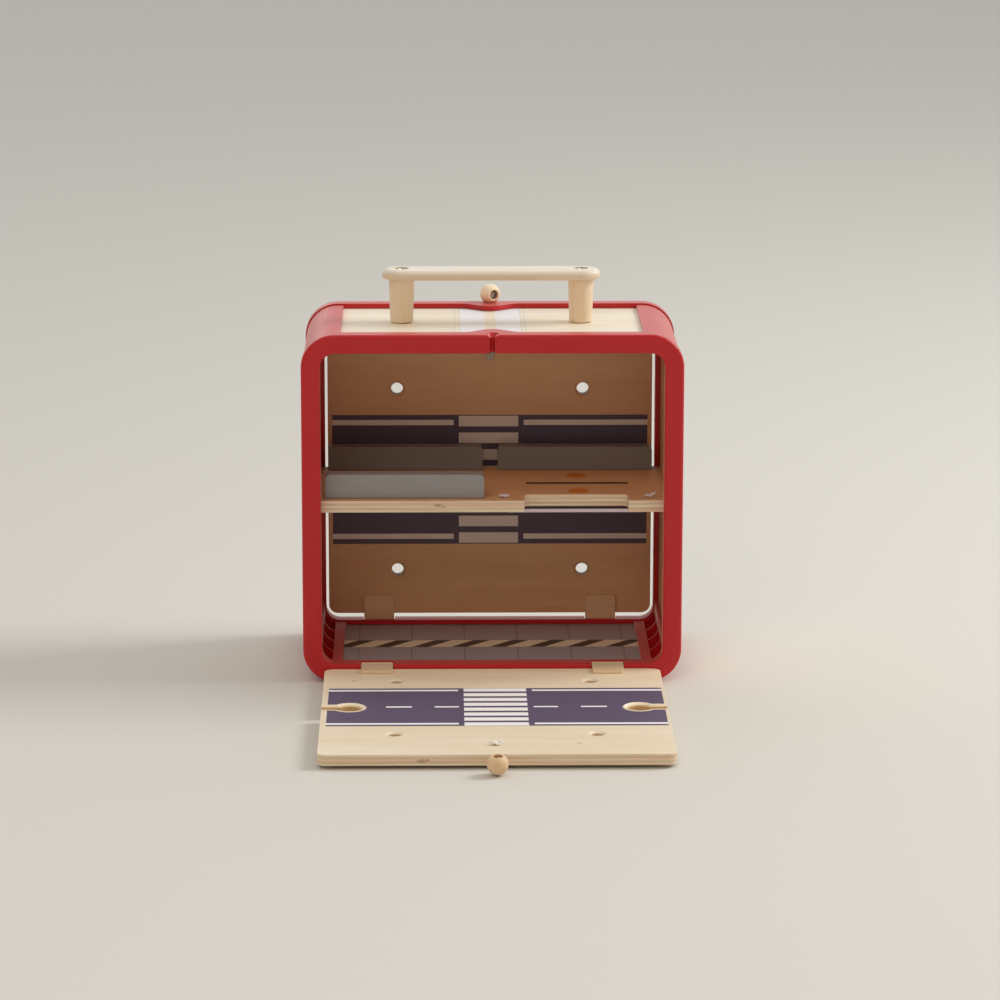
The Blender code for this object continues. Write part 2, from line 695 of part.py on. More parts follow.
def make_bead(name, place, along, hinge, solids, material):
    bead = turned(name, bead_profile(), solids, BEAD_STEPS, closed=True)
    bead.parent = hinge
    bead.location = place
    bead.rotation_euler = Vector(along).to_track_quat("Z", "Y").to_euler()
    return finish(bead, material, hinge)


def bead_route(centre, along, inside):
    """Points from the knot in a bead's bore to just outside the bore's other end."""
    centre = Vector(centre)
    along = Vector(along)
    return [centre + along * inside, centre, centre - along * (BEAD_LENGTH / 2 - MM)]


def make_latch_cord(name, route, bead_knot, hinge, solids, cutters, material):
    """The elastic from its knot in the bead to its knot on the door's inner face."""
    strand = cord(name, route, LATCH_CORD, solids)
    knot_depth = 2.2 * MM
    inner = DOOR_INNER_FACE - PIVOT_INSET + SEAT_GAP + knot_depth
    anchor = ball(name + "_door_knot", (0, inner, LATCH_HEIGHT - PIVOT_HEIGHT),
                  (LATCH_KNOT / 2, knot_depth, LATCH_KNOT / 2), cutters)
    stop = ball(name + "_bead_knot", bead_knot, (BEAD_KNOT / 2,) * 3, cutters, 12)
    join(strand, anchor, stop)
    anchor.parent = hinge
    stop.parent = hinge
    return finish(strand, material, hinge)


def through_door():
    """The last stretch of a latch cord: down the door's outer face, then through its hole."""
    run = LATCH_RUN - PIVOT_INSET
    height = LATCH_HEIGHT - PIVOT_HEIGHT
    inner = DOOR_INNER_FACE - PIVOT_INSET
    return [(0, run, height + 5 * MM), (0, run, height + 2.4 * MM), (0, run + 0.35 * MM, height + 0.8 * MM),
            (0, run + 1.4 * MM, height), (0, inner - 2 * MM, height), (0, inner + 1.6 * MM, height)]


def make_rear_latch(hinge, solids, cutters, wood, elastic):
    """The bead sits in the top rail's seat, with its bore turned towards the inside of the case."""
    along = Vector((-math.sin(REAR_BEAD_TURN), math.cos(REAR_BEAD_TURN), 0))
    centre = Vector((0, SEAT_INSET - PIVOT_INSET, BEAD_SEAT_HEIGHT - PIVOT_HEIGHT))
    make_bead("rear_latch_bead", centre, along, hinge, solids, wood)
    knot = centre + along * (BEAD_LENGTH / 2 - BEAD_KNOT / 2 - 0.4 * MM)
    rail = CASE_HEIGHT - PIVOT_HEIGHT
    outer = -PIVOT_INSET
    side_step = [(2.9 * MM, outer - 0.6 * MM, rail + 4.4 * MM), (2.8 * MM, outer - 2.0 * MM, rail + 2.6 * MM),
                 (1.5 * MM, outer - 2.3 * MM, rail + 0.6 * MM), (0.3 * MM, outer - 1.6 * MM, rail - 2 * MM),
                 (0, outer - 1.5 * MM, rail - 5 * MM), (0, outer - 2.2 * MM, rail - 8.5 * MM),
                 (0, LATCH_RUN - PIVOT_INSET, rail - 12 * MM)]
    route = [knot, centre, centre - along * (BEAD_LENGTH / 2 - 0.4 * MM)] + side_step + through_door()
    make_latch_cord("rear_latch_cord", route, knot, hinge, solids, cutters, elastic)


def make_front_latch(hinge, solids, cutters, wood, elastic):
    """The door lies open, and the bead lies on the floor past its free edge."""
    along = Vector((0, math.cos(FRONT_BEAD_TILT), math.sin(FRONT_BEAD_TILT)))
    centre = Vector((0, FRONT_BEAD_INSET - PIVOT_INSET, FRONT_BEAD_HEIGHT - PIVOT_HEIGHT))
    make_bead("front_latch_bead", centre, along, hinge, solids, wood)
    knot = centre + along * (BEAD_LENGTH / 2 - BEAD_KNOT / 2 - 0.4 * MM)
    run = LATCH_RUN - PIVOT_INSET
    turn = 2 * LATCH_CORD
    bend = arc((centre.z + 0.5 * MM - turn, run + turn), turn, 0, -90, 5)
    route = [knot, centre] + [(0, height, past) for past, height in bend]
    route += [(0, run, centre.z - turn - 4 * MM)] + through_door()
    make_latch_cord("front_latch_cord", route, knot, hinge, solids, cutters, elastic)


# Shelf

def make_shelf(case, solids, cutters, material):
    front = -SHELF_Y
    left = BAY_CENTRE - BAY_WIDTH / 2
    right = BAY_CENTRE + BAY_WIDTH / 2
    back = front + BAY_DEPTH
    board = [(-SHELF_HALF, front), (left, front)]
    board += arc((left + BAY_CORNER, back - BAY_CORNER), BAY_CORNER, 180, 90, 4)
    board += arc((right - BAY_CORNER, back - BAY_CORNER), BAY_CORNER, 90, 0, 4)
    board += [(right, front), (SHELF_HALF, front), (SHELF_HALF, SHELF_Y), (-SHELF_HALF, SHELF_Y)]
    middle = front + CARD_SLOT_PLACE
    slot = rectangle(CARD_SLOT_CENTRE - BAY_WIDTH / 2, middle - CARD_SLOT / 2,
                     CARD_SLOT_CENTRE + BAY_WIDTH / 2, middle + CARD_SLOT / 2)
    shelf = prism("shelf", [board, slot], SHELF_TOP - SHELF_THICKNESS, SHELF_TOP, "Z", solids)
    for hand in (-1, 1):
        x = BAY_CENTRE + hand * SHELF_CORD_SPACING / 2
        y = front + SHELF_CORD_PLACE
        hole = round_bar(f"shelf_cord_hole_{hand}", (x, y, SHELF_TOP - SHELF_THICKNESS - MM),
                         (x, y, SHELF_TOP + MM), SHELF_CORD_HOLE / 2, cutters, 12)
        hole.parent = case
        cut(shelf, hole)
    return finish(shelf, material, case, smooth=False)


def make_shelf_cord(case, solids, cutters, material):
    """An elastic under the shelf and across its front bay, knotted above the shelf at both ends."""
    y = -SHELF_Y + SHELF_CORD_PLACE
    under = SHELF_TOP - SHELF_THICKNESS - SEAT_GAP - SHELF_CORD / 2
    knot_half = 1.9 * MM
    knot_z = SHELF_TOP + SEAT_GAP + knot_half
    half = SHELF_CORD_SPACING / 2
    bend = 2.2 * MM
    corner = arc((half - bend, under + bend), bend, 0, -90, 4)
    right = [(half, knot_z), (half, SHELF_TOP - 2 * MM)] + corner
    left = [(-across, height) for across, height in reversed(right)]
    route = [(BAY_CENTRE + across, y, height) for across, height in right + [(0, under)] + left]
    strand = cord("shelf_cord", route, SHELF_CORD, solids)
    for hand in (-1, 1):
        knot = ball(f"shelf_cord_knot_{hand}", (BAY_CENTRE + hand * half, y, knot_z),
                    (SHELF_KNOT / 2, SHELF_KNOT / 2, knot_half), cutters)
        knot.parent = case
        join(strand, knot)
    return finish(strand, material, case)


def make_wall(name, centre, case, solids, material):
    """A painted wall with its top corners rounded, standing on the shelf; centre is (x, y)."""
    half = WALL_LENGTH / 2
    foot = SHELF_TOP + SEAT_GAP
    top = SHELF_TOP + WALL_HEIGHT
    outline = [(centre[0] - half, foot), (centre[0] + half, foot)]
    outline += arc((centre[0] + half - WALL_CORNER, top - WALL_CORNER), WALL_CORNER, 0, 90, 5)
    outline += arc((centre[0] - half + WALL_CORNER, top - WALL_CORNER), WALL_CORNER, 90, 180, 5)
    wall = prism(name, [outline], centre[1] - WALL_THICKNESS / 2, centre[1] + WALL_THICKNESS / 2, "Y", solids)
    round_edges(wall, 0.5 * MM, 1)
    return finish(wall, material, case, smooth=False)


# Handle

def handle_outline(inset):
    reach = (HANDLE_LENGTH - HANDLE_WIDTH) / 2
    radius = HANDLE_WIDTH / 2 - inset
    outline = arc((reach, HANDLE_PLACE), radius, -90, 90, 14)
    return outline + arc((-reach, HANDLE_PLACE), radius, 90, 270, 14)


def make_handle_bar(case, solids, cutters, material):
    """A lath with round ends, rounded more along its top than along its underside."""
    edge = arc((-HANDLE_LOWER_ROUND, HANDLE_UNDERSIDE + HANDLE_LOWER_ROUND), HANDLE_LOWER_ROUND, -90, 0, 2)
    edge += arc((-HANDLE_ROUND, HANDLE_TOP - HANDLE_ROUND), HANDLE_ROUND, 0, 90, 4)
    shape = bmesh.new()
    rings = []
    for outwards, height in edge:
        rings.append([shape.verts.new((x, y, height)) for x, y in handle_outline(-outwards)])
    for lower, upper in zip(rings, rings[1:]):
        for here in range(len(lower)):
            shape.faces.new((lower[here - 1], lower[here], upper[here], upper[here - 1]))
    shape.faces.new(reversed(rings[0]))
    shape.faces.new(rings[-1])
    mesh = bpy.data.meshes.new("handle_bar")
    shape.to_mesh(mesh)
    shape.free()
    bar = bpy.data.objects.new("handle_bar", mesh)
    solids.objects.link(bar)
    for hand in (-1, 1):
        x = hand * POST_SPACING / 2
        profile = [(0, HANDLE_TOP + MM), (SCREW_RECESS / 2, HANDLE_TOP + MM),
                   (SCREW_RECESS / 2, HANDLE_TOP - SCREW_RECESS_DEPTH),
                   (SCREW_SHANK / 2 + SEAT_GAP, HANDLE_TOP - SCREW_RECESS_DEPTH),
                   (SCREW_SHANK / 2 + SEAT_GAP, HANDLE_UNDERSIDE - MM), (0, HANDLE_UNDERSIDE - MM)]
        recess = turned(f"handle_recess_{hand}", profile, cutters)
        recess.parent = case
        recess.location = (x, HANDLE_PLACE, 0)
        cut(bar, recess)
    return finish(bar, material, case)


def make_handle_post(name, x, case, solids, material):
    """A slightly tapered dowel with a pilot hole at each end."""
    low = TOP_FACE + SEAT_GAP
    high = low + POST_HEIGHT
    pilot = SCREW_SHANK / 2 + SEAT_GAP
    depth = SCREW_BITE + 2 * SEAT_GAP
    chamfer = 0.5 * MM
    profile = [(0, high - depth), (pilot, high - depth), (pilot, high), (POST_TOP / 2, high),
               (POST_BOTTOM / 2, low + chamfer), (POST_BOTTOM / 2 - chamfer, low), (pilot, low),
               (pilot, low + depth), (0, low + depth)]
    post = turned(name, profile, solids, 28)
    post.location = (x, HANDLE_PLACE, 0)
    return finish(post, material, case)


def screw_profile(shank_length):
    """A pan-head screw with its head up and the bearing face of the head at height 0."""
    head = SCREW_HEAD / 2
    edge = 0.5 * MM
    shank = SCREW_SHANK / 2
    point = 1.5 * MM
    drive = SCREW_DRIVE / 2
    return [(0, SCREW_HEAD_HEIGHT - SCREW_DRIVE_DEPTH), (drive * 0.6, SCREW_HEAD_HEIGHT - SCREW_DRIVE_DEPTH),
            (drive, SCREW_HEAD_HEIGHT), (head - 2 * edge, SCREW_HEAD_HEIGHT), (head, SCREW_HEAD_HEIGHT - edge),
            (head, 0), (shank, 0), (shank, point - shank_length), (0, -shank_length)]


def make_screw(name, place, upright, shank_length, case, solids, material):
    """A screw whose head seats at the given place, pointing down when upright."""
    screw = turned(name, screw_profile(shank_length), solids, 12)
    screw.location = place
    screw.rotation_euler.x = 0 if upright else math.pi
    return finish(screw, material, case)


def make_top_panel_holes(panel, case, cutters):
    for hand in (-1, 1):
        x = hand * POST_SPACING / 2
        hole = round_bar(f"post_screw_hole_{hand}", (x, HANDLE_PLACE, TOP_FACE - PANEL_THICKNESS - MM),
                         (x, HANDLE_PLACE, TOP_FACE + MM), SCREW_SHANK / 2 + SEAT_GAP, cutters, 16)
        hole.parent = case
        cut(panel, hole)


def build():
    remove_everything()
    solids = new_collection("toy_garage")
    cutters = new_collection("cutters")

    red = paint("red_plastic", (0.45, 0.018, 0.025), 0.42)
    ply = paint("birch_plywood", (0.76, 0.60, 0.40), 0.55)
    beech = paint("turned_beech", (0.74, 0.55, 0.36), 0.5)
    grey = paint("grey_paint", (0.25, 0.25, 0.25), 0.6)
    elastic = paint("clear_elastic", (0.85, 0.86, 0.86), 0.25, transmission=0.6)
    steel = paint("plated_steel", (0.55, 0.54, 0.52), 0.35, metallic=1.0)

    case = joint_empty("case", None, (0, CASE_PLACE, 0))
    front = joint_empty("front_side", case, (0, -CASE_DEPTH / 2, 0))
    rear = joint_empty("rear_side", case, (0, CASE_DEPTH / 2, 0), (0, 0, math.pi))
    pivot = (0, PIVOT_INSET, PIVOT_HEIGHT)
    front_hinge = joint_empty("front_door_hinge", front, pivot, (math.pi / 2, 0, 0))
    rear_hinge = joint_empty("rear_door_hinge", rear, pivot)

    make_frame("front_frame", front, solids, cutters, red)
    make_frame("rear_frame", rear, solids, cutters, red)
    for hand, across in ((-1, "left"), (1, "right")):
        for top, level in ((False, "bottom"), (True, "top")):
            make_corner(f"{level}_{across}_corner", hand, top, case, solids, cutters, red)
        make_side_panel(f"{across}_panel", hand, case, solids, cutters, ply)
    make_flat_panel("bottom_panel", PANEL_RECESS, case, solids, ply)
    top_panel = make_flat_panel("top_panel", TOP_FACE - PANEL_THICKNESS, case, solids, ply)
    make_top_panel_holes(top_panel, case, cutters)

    make_door("front_door", front_hinge, True, solids, cutters, ply)
    make_door("rear_door", rear_hinge, False, solids, cutters, ply)
    for label, side, hinge, left in (("front", front, front_hinge, -1), ("rear", rear, rear_hinge, 1)):
        for hand in (-1, 1):
            across = "left" if hand == left else "right"
            make_hinge_tab(f"{label}_{across}_hinge_tab", hand, hinge, solids, cutters, ply)
            make_hinge_pin(f"{label}_{across}_hinge_pin", hand, side, solids, steel)
    make_front_latch(front_hinge, solids, cutters, beech, elastic)
    make_rear_latch(rear_hinge, solids, cutters, beech, elastic)

    make_shelf(case, solids, cutters, ply)
    make_shelf_cord(case, solids, cutters, elastic)
    wall_front = -SHELF_Y + WALL_FRONT_INSET + WALL_THICKNESS / 2
    wall_rear = SHELF_Y - WALL_REAR_INSET - WALL_THICKNESS / 2
    make_wall("front_left_wall", (-WALL_PLACE, wall_front), case, solids, grey)
    make_wall("rear_left_wall", (-WALL_PLACE, wall_rear), case, solids, grey)
    make_wall("rear_right_wall", (WALL_PLACE, wall_rear), case, solids, grey)

    make_handle_bar(case, solids, cutters, beech)
    make_handle_post("left_handle_post", -POST_SPACING / 2, case, solids, beech)
    make_handle_post("right_handle_post", POST_SPACING / 2, case, solids, beech)
    for hand, across in ((-1, "left"), (1, "right")):
        x = hand * POST_SPACING / 2
        seat = (x, HANDLE_PLACE, HANDLE_TOP - SCREW_RECESS_DEPTH + SEAT_GAP)
        length = HANDLE_THICKNESS - SCREW_RECESS_DEPTH + SCREW_BITE
        make_screw(f"{across}_handle_screw", seat, True, length, case, solids, steel)
        seat = (x, HANDLE_PLACE, TOP_FACE - PANEL_THICKNESS - SEAT_GAP)
        length = PANEL_THICKNESS + SCREW_BITE
        make_screw(f"{across}_post_screw", seat, False, length, case, solids, steel)
    bpy.context.view_layer.update()


build()
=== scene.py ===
"""Looks of the toy garage: finishes, printed roads and elastic cords, with the floor, light and camera."""
import math

import bmesh
import bpy
from mathutils import Matrix, Vector


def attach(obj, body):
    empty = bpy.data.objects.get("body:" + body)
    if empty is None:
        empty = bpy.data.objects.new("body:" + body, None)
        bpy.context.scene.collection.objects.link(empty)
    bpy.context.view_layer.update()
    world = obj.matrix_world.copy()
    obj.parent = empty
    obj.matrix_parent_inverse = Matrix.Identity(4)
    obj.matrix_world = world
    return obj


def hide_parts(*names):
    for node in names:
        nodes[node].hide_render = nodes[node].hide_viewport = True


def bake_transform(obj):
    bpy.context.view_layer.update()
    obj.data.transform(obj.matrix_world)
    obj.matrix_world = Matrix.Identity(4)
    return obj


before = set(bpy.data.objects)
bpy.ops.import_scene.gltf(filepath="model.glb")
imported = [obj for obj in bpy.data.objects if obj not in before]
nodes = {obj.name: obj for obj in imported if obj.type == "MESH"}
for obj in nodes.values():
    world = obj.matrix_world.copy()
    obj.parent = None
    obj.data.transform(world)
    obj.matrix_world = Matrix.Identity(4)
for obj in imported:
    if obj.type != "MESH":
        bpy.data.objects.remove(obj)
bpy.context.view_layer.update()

MM = 0.001

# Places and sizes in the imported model, in millimetres
CASE_Y = 92.925
FRONT_FACE = CASE_Y - 55
DOOR_THICKNESS = 6
FRONT_DOOR_UNDERSIDE = 1.9
FRONT_DOOR_TOP = FRONT_DOOR_UNDERSIDE + DOOR_THICKNESS
FRONT_DOOR_HINGE_EDGE = FRONT_FACE - 0.3
FRONT_DOOR_FREE_EDGE = -133.9
REAR_DOOR_INNER_FACE = CASE_Y + 51
REAR_DOOR_HINGE_EDGE = 13.2
PANEL_THICKNESS = 4.7
TOP_PANEL_UNDERSIDE = 188.4
BOTTOM_PANEL_UNDERSIDE = 2.9
SHELF_THICKNESS = 6.5
SHELF_UNDERSIDE = 94.7
SHELF_FRONT = 47.8
FRONT_BEAD = (0, -145.88, 6.1)
FRONT_BORE = (0, -0.1045, 0.9945)
REAR_BEAD = (0, 142.93, 200.8)
REAR_BORE = (0.5, -0.866, 0)


def srgb(red, green, blue):
    """A colour given in 0 to 255 as it looks on screen."""
    linear = []
    for value in (red, green, blue):
        share = value / 255
        linear.append(share / 12.92 if share <= 0.04045 else ((share + 0.055) / 1.055) ** 2.4)
    return (*linear, 1.0)


# Shapes

def add_object(name, data):
    piece = bpy.data.objects.new(name, data)
    bpy.context.scene.collection.objects.link(piece)
    return piece


def smooth_route(points, spacing):
    """Points every spacing or so along a smooth curve through the given points."""
    route = []
    ends = [points[0] * 2 - points[1]] + points + [points[-1] * 2 - points[-2]]
    for before, start, end, after in zip(ends, ends[1:], ends[2:], ends[3:]):
        count = max(1, round((end - start).length / spacing))
        for step in range(count):
            t = step / count
            route.append(0.5 * (2 * start + (end - before) * t
                                + (2 * before - 5 * start + 4 * end - after) * t ** 2
                                + (3 * start - before - 3 * end + after) * t ** 3))
    route.append(points[-1])
    return route


def eased(route, times=4):
    """The route with its bends eased and its ends kept."""
    for _ in range(times):
        middle = [(before + 2 * point + after) / 4
                  for before, point, after in zip(route, route[1:], route[2:])]
        route = [route[0], *middle, route[-1]]
    return route


def directions(points, closed):
    """The way that the line runs at each of its points."""
    if closed:
        before, after = [points[-1], *points[:-1]], [*points[1:], points[0]]
    else:
        before, after = [points[0], *points[:-1]], [*points[1:], points[-1]]
    return [(end - start).normalized() for start, end in zip(before, after)]


def tube(name, points, radius, sides=10, closed=False):
    """A round tube whose line runs through the points."""
    rings = []
    shape = bmesh.new()
    ways = directions(points, closed)
    normal = ways[0].orthogonal()
    for point, along in zip(points, ways):
        normal = (normal - along * normal.dot(along)).normalized()
        across = along.cross(normal)
        rings.append([shape.verts.new(point + radius * (normal * math.cos(angle) + across * math.sin(angle)))
                      for angle in (2 * math.pi * side / sides for side in range(sides))])
    pairs = list(zip(rings, rings[1:]))
    if closed:
        pairs.append((rings[-1], rings[0]))
    for first, second in pairs:
        for side in range(sides):
            following = (side + 1) % sides
            shape.faces.new((first[side], first[following], second[following], second[side]))
    if not closed:
        shape.faces.new(rings[0][::-1])
        shape.faces.new(rings[-1])
    bmesh.ops.recalc_face_normals(shape, faces=shape.faces)
    mesh = bpy.data.meshes.new(name)
    shape.to_mesh(mesh)
    shape.free()
    mesh.shade_smooth()
    return add_object(name, mesh)


# Cords, whose routes follow those of the model with rounder bends, in millimetres

FRONT_CORD = ((0, -146.14, 8.6), (0, -146.2, 6.1), (0, -146.4, 3.85), (0, -146.18, 2.74), (0, -145.55, 1.8),
              (0, -144.61, 1.17), (0, -143.5, 0.95), (0, -139.28, 0.95), (0, -118.87, 0.95),
              (0, -116.87, 0.95), (0, -115.72, 1.18), (0, -114.75, 1.83), (0, -114.1, 2.8),
              (0, -113.87, 3.95), (0, -113.87, 5.9), (0, -113.87, 9.5))
REAR_CORD = ((1.26, 140.75, 200.8), (0, 142.93, 200.8), (-2.06, 146.49, 200.8), (-2.85, 148.4, 200.3),
             (-2.9, 149.8, 198.7), (-1.5, 150.23, 196.6), (-0.3, 149.53, 194), (0, 149.43, 191),
             (0, 150.12, 187.5), (0, 150.88, 184), (0, 150.88, 169.7), (0, 150.88, 167.7),
             (0, 150.65, 166.55), (0, 150, 165.58), (0, 149.03, 164.93), (0, 147.88, 164.7),
             (0, 145.93, 164.7), (0, 142.33, 164.7))
SHELF_CORD = ((6.2, 57.425, 102.2), (6.2, 57.425, 99.2), (6.2, 57.425, 95.6), (6.37, 57.425, 94.76),
              (6.84, 57.425, 94.04), (7.56, 57.425, 93.57), (8.4, 57.425, 93.4), (46.7, 57.425, 93.4),
              (85.0, 57.425, 93.4), (85.84, 57.425, 93.57), (86.56, 57.425, 94.04), (87.03, 57.425, 94.76),
              (87.2, 57.425, 95.6), (87.2, 57.425, 99.2), (87.2, 57.425, 102.2))
LATCH_CORD_SIZE = 1.3
SHELF_CORD_SIZE = 2.0
CORD_SPACING = 0.8

# Knots: how they are drawn, their places and sizes, and their tails as seen from the knot
KNOT_POINTS = 60
KNOT_TIGHTNESS = 0.47
TREFOIL_REACH = 3
TAIL_SPACING = 0.5
UPWARDS = (0, 0, 1)
REARWARDS = (0, 1, 0)
FRONT_DOOR_KNOT = (0, -116.2, 9.0)
FRONT_DOOR_KNOT_SIZE = 5.4
FRONT_BEAD_KNOT = (0, -146.14, 8.7)
REAR_DOOR_KNOT = (0, 141.6, 164.9)
REAR_DOOR_KNOT_SIZE = 5.8
REAR_DOOR_KNOT_CORD = 1.9
REAR_BEAD_KNOT = (1.2, 140.85, 200.8)
BEAD_KNOT_SIZE = 3.9
BEAD_KNOT_CORD = 1.1
LEFT_SHELF_KNOT = (6.7, 56.1, 102.2)
RIGHT_SHELF_KNOT = (87.4, 56.1, 102.2)
SHELF_KNOT_SIZE = 3.9
SHELF_KNOT_CORD = 1.2
FRONT_TAILS = (((-0.6, 0, 0.3), (-2, 0.3, 0.5), (-3.8, 0.6, -0.1)),
               ((0.6, 0, 0.3), (2, -0.2, 0.6), (3.2, -0.4, 0.2)))
LEFT_TAILS = (((0.5, 0, 0.4), (1.5, -0.4, 0.7), (2.9, -0.9, -0.2)),
              ((-0.5, 0, 0.4), (-1.6, -0.5, 0.5), (-2.8, -1, -0.2)))
RIGHT_TAILS = (((0.5, 0, 0.4), (1.8, -0.2, 1.0), (3.6, -0.6, 1.8)),
               ((-0.5, 0, 0.4), (-1.5, -0.6, 0.4), (-2.7, -1.1, -0.3)))


def add_cord(name, points, diameter, node, material):
    """An elastic cord in place of the model's, and its route."""
    route = eased(smooth_route([Vector(point) * MM for point in points], CORD_SPACING * MM))
    piece = tube(name, route, diameter * MM / 2)
    piece.data.materials.append(material)
    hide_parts(node)
    return piece, route


def trefoil(centre, reach, facing, depth):
    """The points of a closed trefoil, flattened along facing."""
    turn = Vector(facing).to_track_quat("Z", "Y").to_matrix()
    points = []
    for step in range(KNOT_POINTS):
        angle = 2 * math.pi * step / KNOT_POINTS
        flat = Vector((math.sin(angle) + 2 * math.sin(2 * angle), math.cos(angle) - 2 * math.cos(2 * angle),
                       -depth * math.sin(3 * angle)))
        points.append((Vector(centre) + turn @ (flat * reach)) * MM)
    return points


def add_knot(name, centre, size, cord, facing, material, tails=(), depth=0.8):
    """An overhand knot drawn tight: a closed trefoil of cord, size wide, with its tails."""
    radius = cord * KNOT_TIGHTNESS * MM
    knot = tube(name, trefoil(centre, (size - cord) / 2 / TREFOIL_REACH, facing, depth), radius, closed=True)
    ends = []
    for tail in tails:
        points = [(Vector(centre) + Vector(point)) * MM for point in tail]
        ends.append(tube(name + "_tail", smooth_route(points, TAIL_SPACING * MM), radius))
    if ends:
        with bpy.context.temp_override(active_object=knot, selected_editable_objects=[knot, *ends]):
            bpy.ops.object.join()
    knot.data.materials.append(material)
    return knot


def make_front_latch(elastic):
    """The cord under the open door's free edge, from its knot in the bead to its knot on the door."""
    front_cord, front_route = add_cord("front_latch_elastic", FRONT_CORD, LATCH_CORD_SIZE,
                                       "front_latch_cord", elastic)
    front_knot = add_knot("front_door_knot", FRONT_DOOR_KNOT, FRONT_DOOR_KNOT_SIZE, LATCH_CORD_SIZE, UPWARDS,
                          knot_elastic(), FRONT_TAILS, 0.6)
    front_bead_knot = add_knot("front_bead_knot", FRONT_BEAD_KNOT, BEAD_KNOT_SIZE, BEAD_KNOT_CORD,
                               FRONT_BORE, elastic)
    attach(front_knot, "front_door")
    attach(front_bead_knot, "front_bead")
    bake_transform(front_cord)


def make_rear_latch(elastic):
    """The cord over the top rail and down the closed door, from its knot in the bead to that on the door."""
    rear_cord, rear_route = add_cord("rear_latch_elastic", REAR_CORD, LATCH_CORD_SIZE,
                                     "rear_latch_cord", elastic)
    rear_knot = add_knot("rear_door_knot", REAR_DOOR_KNOT, REAR_DOOR_KNOT_SIZE, REAR_DOOR_KNOT_CORD,
                         REARWARDS, elastic)
    rear_bead_knot = add_knot("rear_bead_knot", REAR_BEAD_KNOT, BEAD_KNOT_SIZE, BEAD_KNOT_CORD,
                              REAR_BORE, elastic)
    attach(rear_knot, "rear_door")
    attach(rear_bead_knot, "rear_bead")
    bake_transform(rear_cord)


def make_shelf_cord(white):
    """The cord under the shelf and across its cut-out, knotted above the shelf at both ends."""
    shelf_cord, shelf_route = add_cord("shelf_elastic", SHELF_CORD, SHELF_CORD_SIZE, "shelf_cord", white)
    left_knot = add_knot("left_shelf_knot", LEFT_SHELF_KNOT, SHELF_KNOT_SIZE, SHELF_KNOT_CORD, UPWARDS,
                         white, LEFT_TAILS, 0.7)
    right_knot = add_knot("right_shelf_knot", RIGHT_SHELF_KNOT, SHELF_KNOT_SIZE, SHELF_KNOT_CORD, UPWARDS,
                          white, RIGHT_TAILS, 0.7)
    for piece in (shelf_cord, left_knot, right_knot):
        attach(piece, "case")


# Finishes

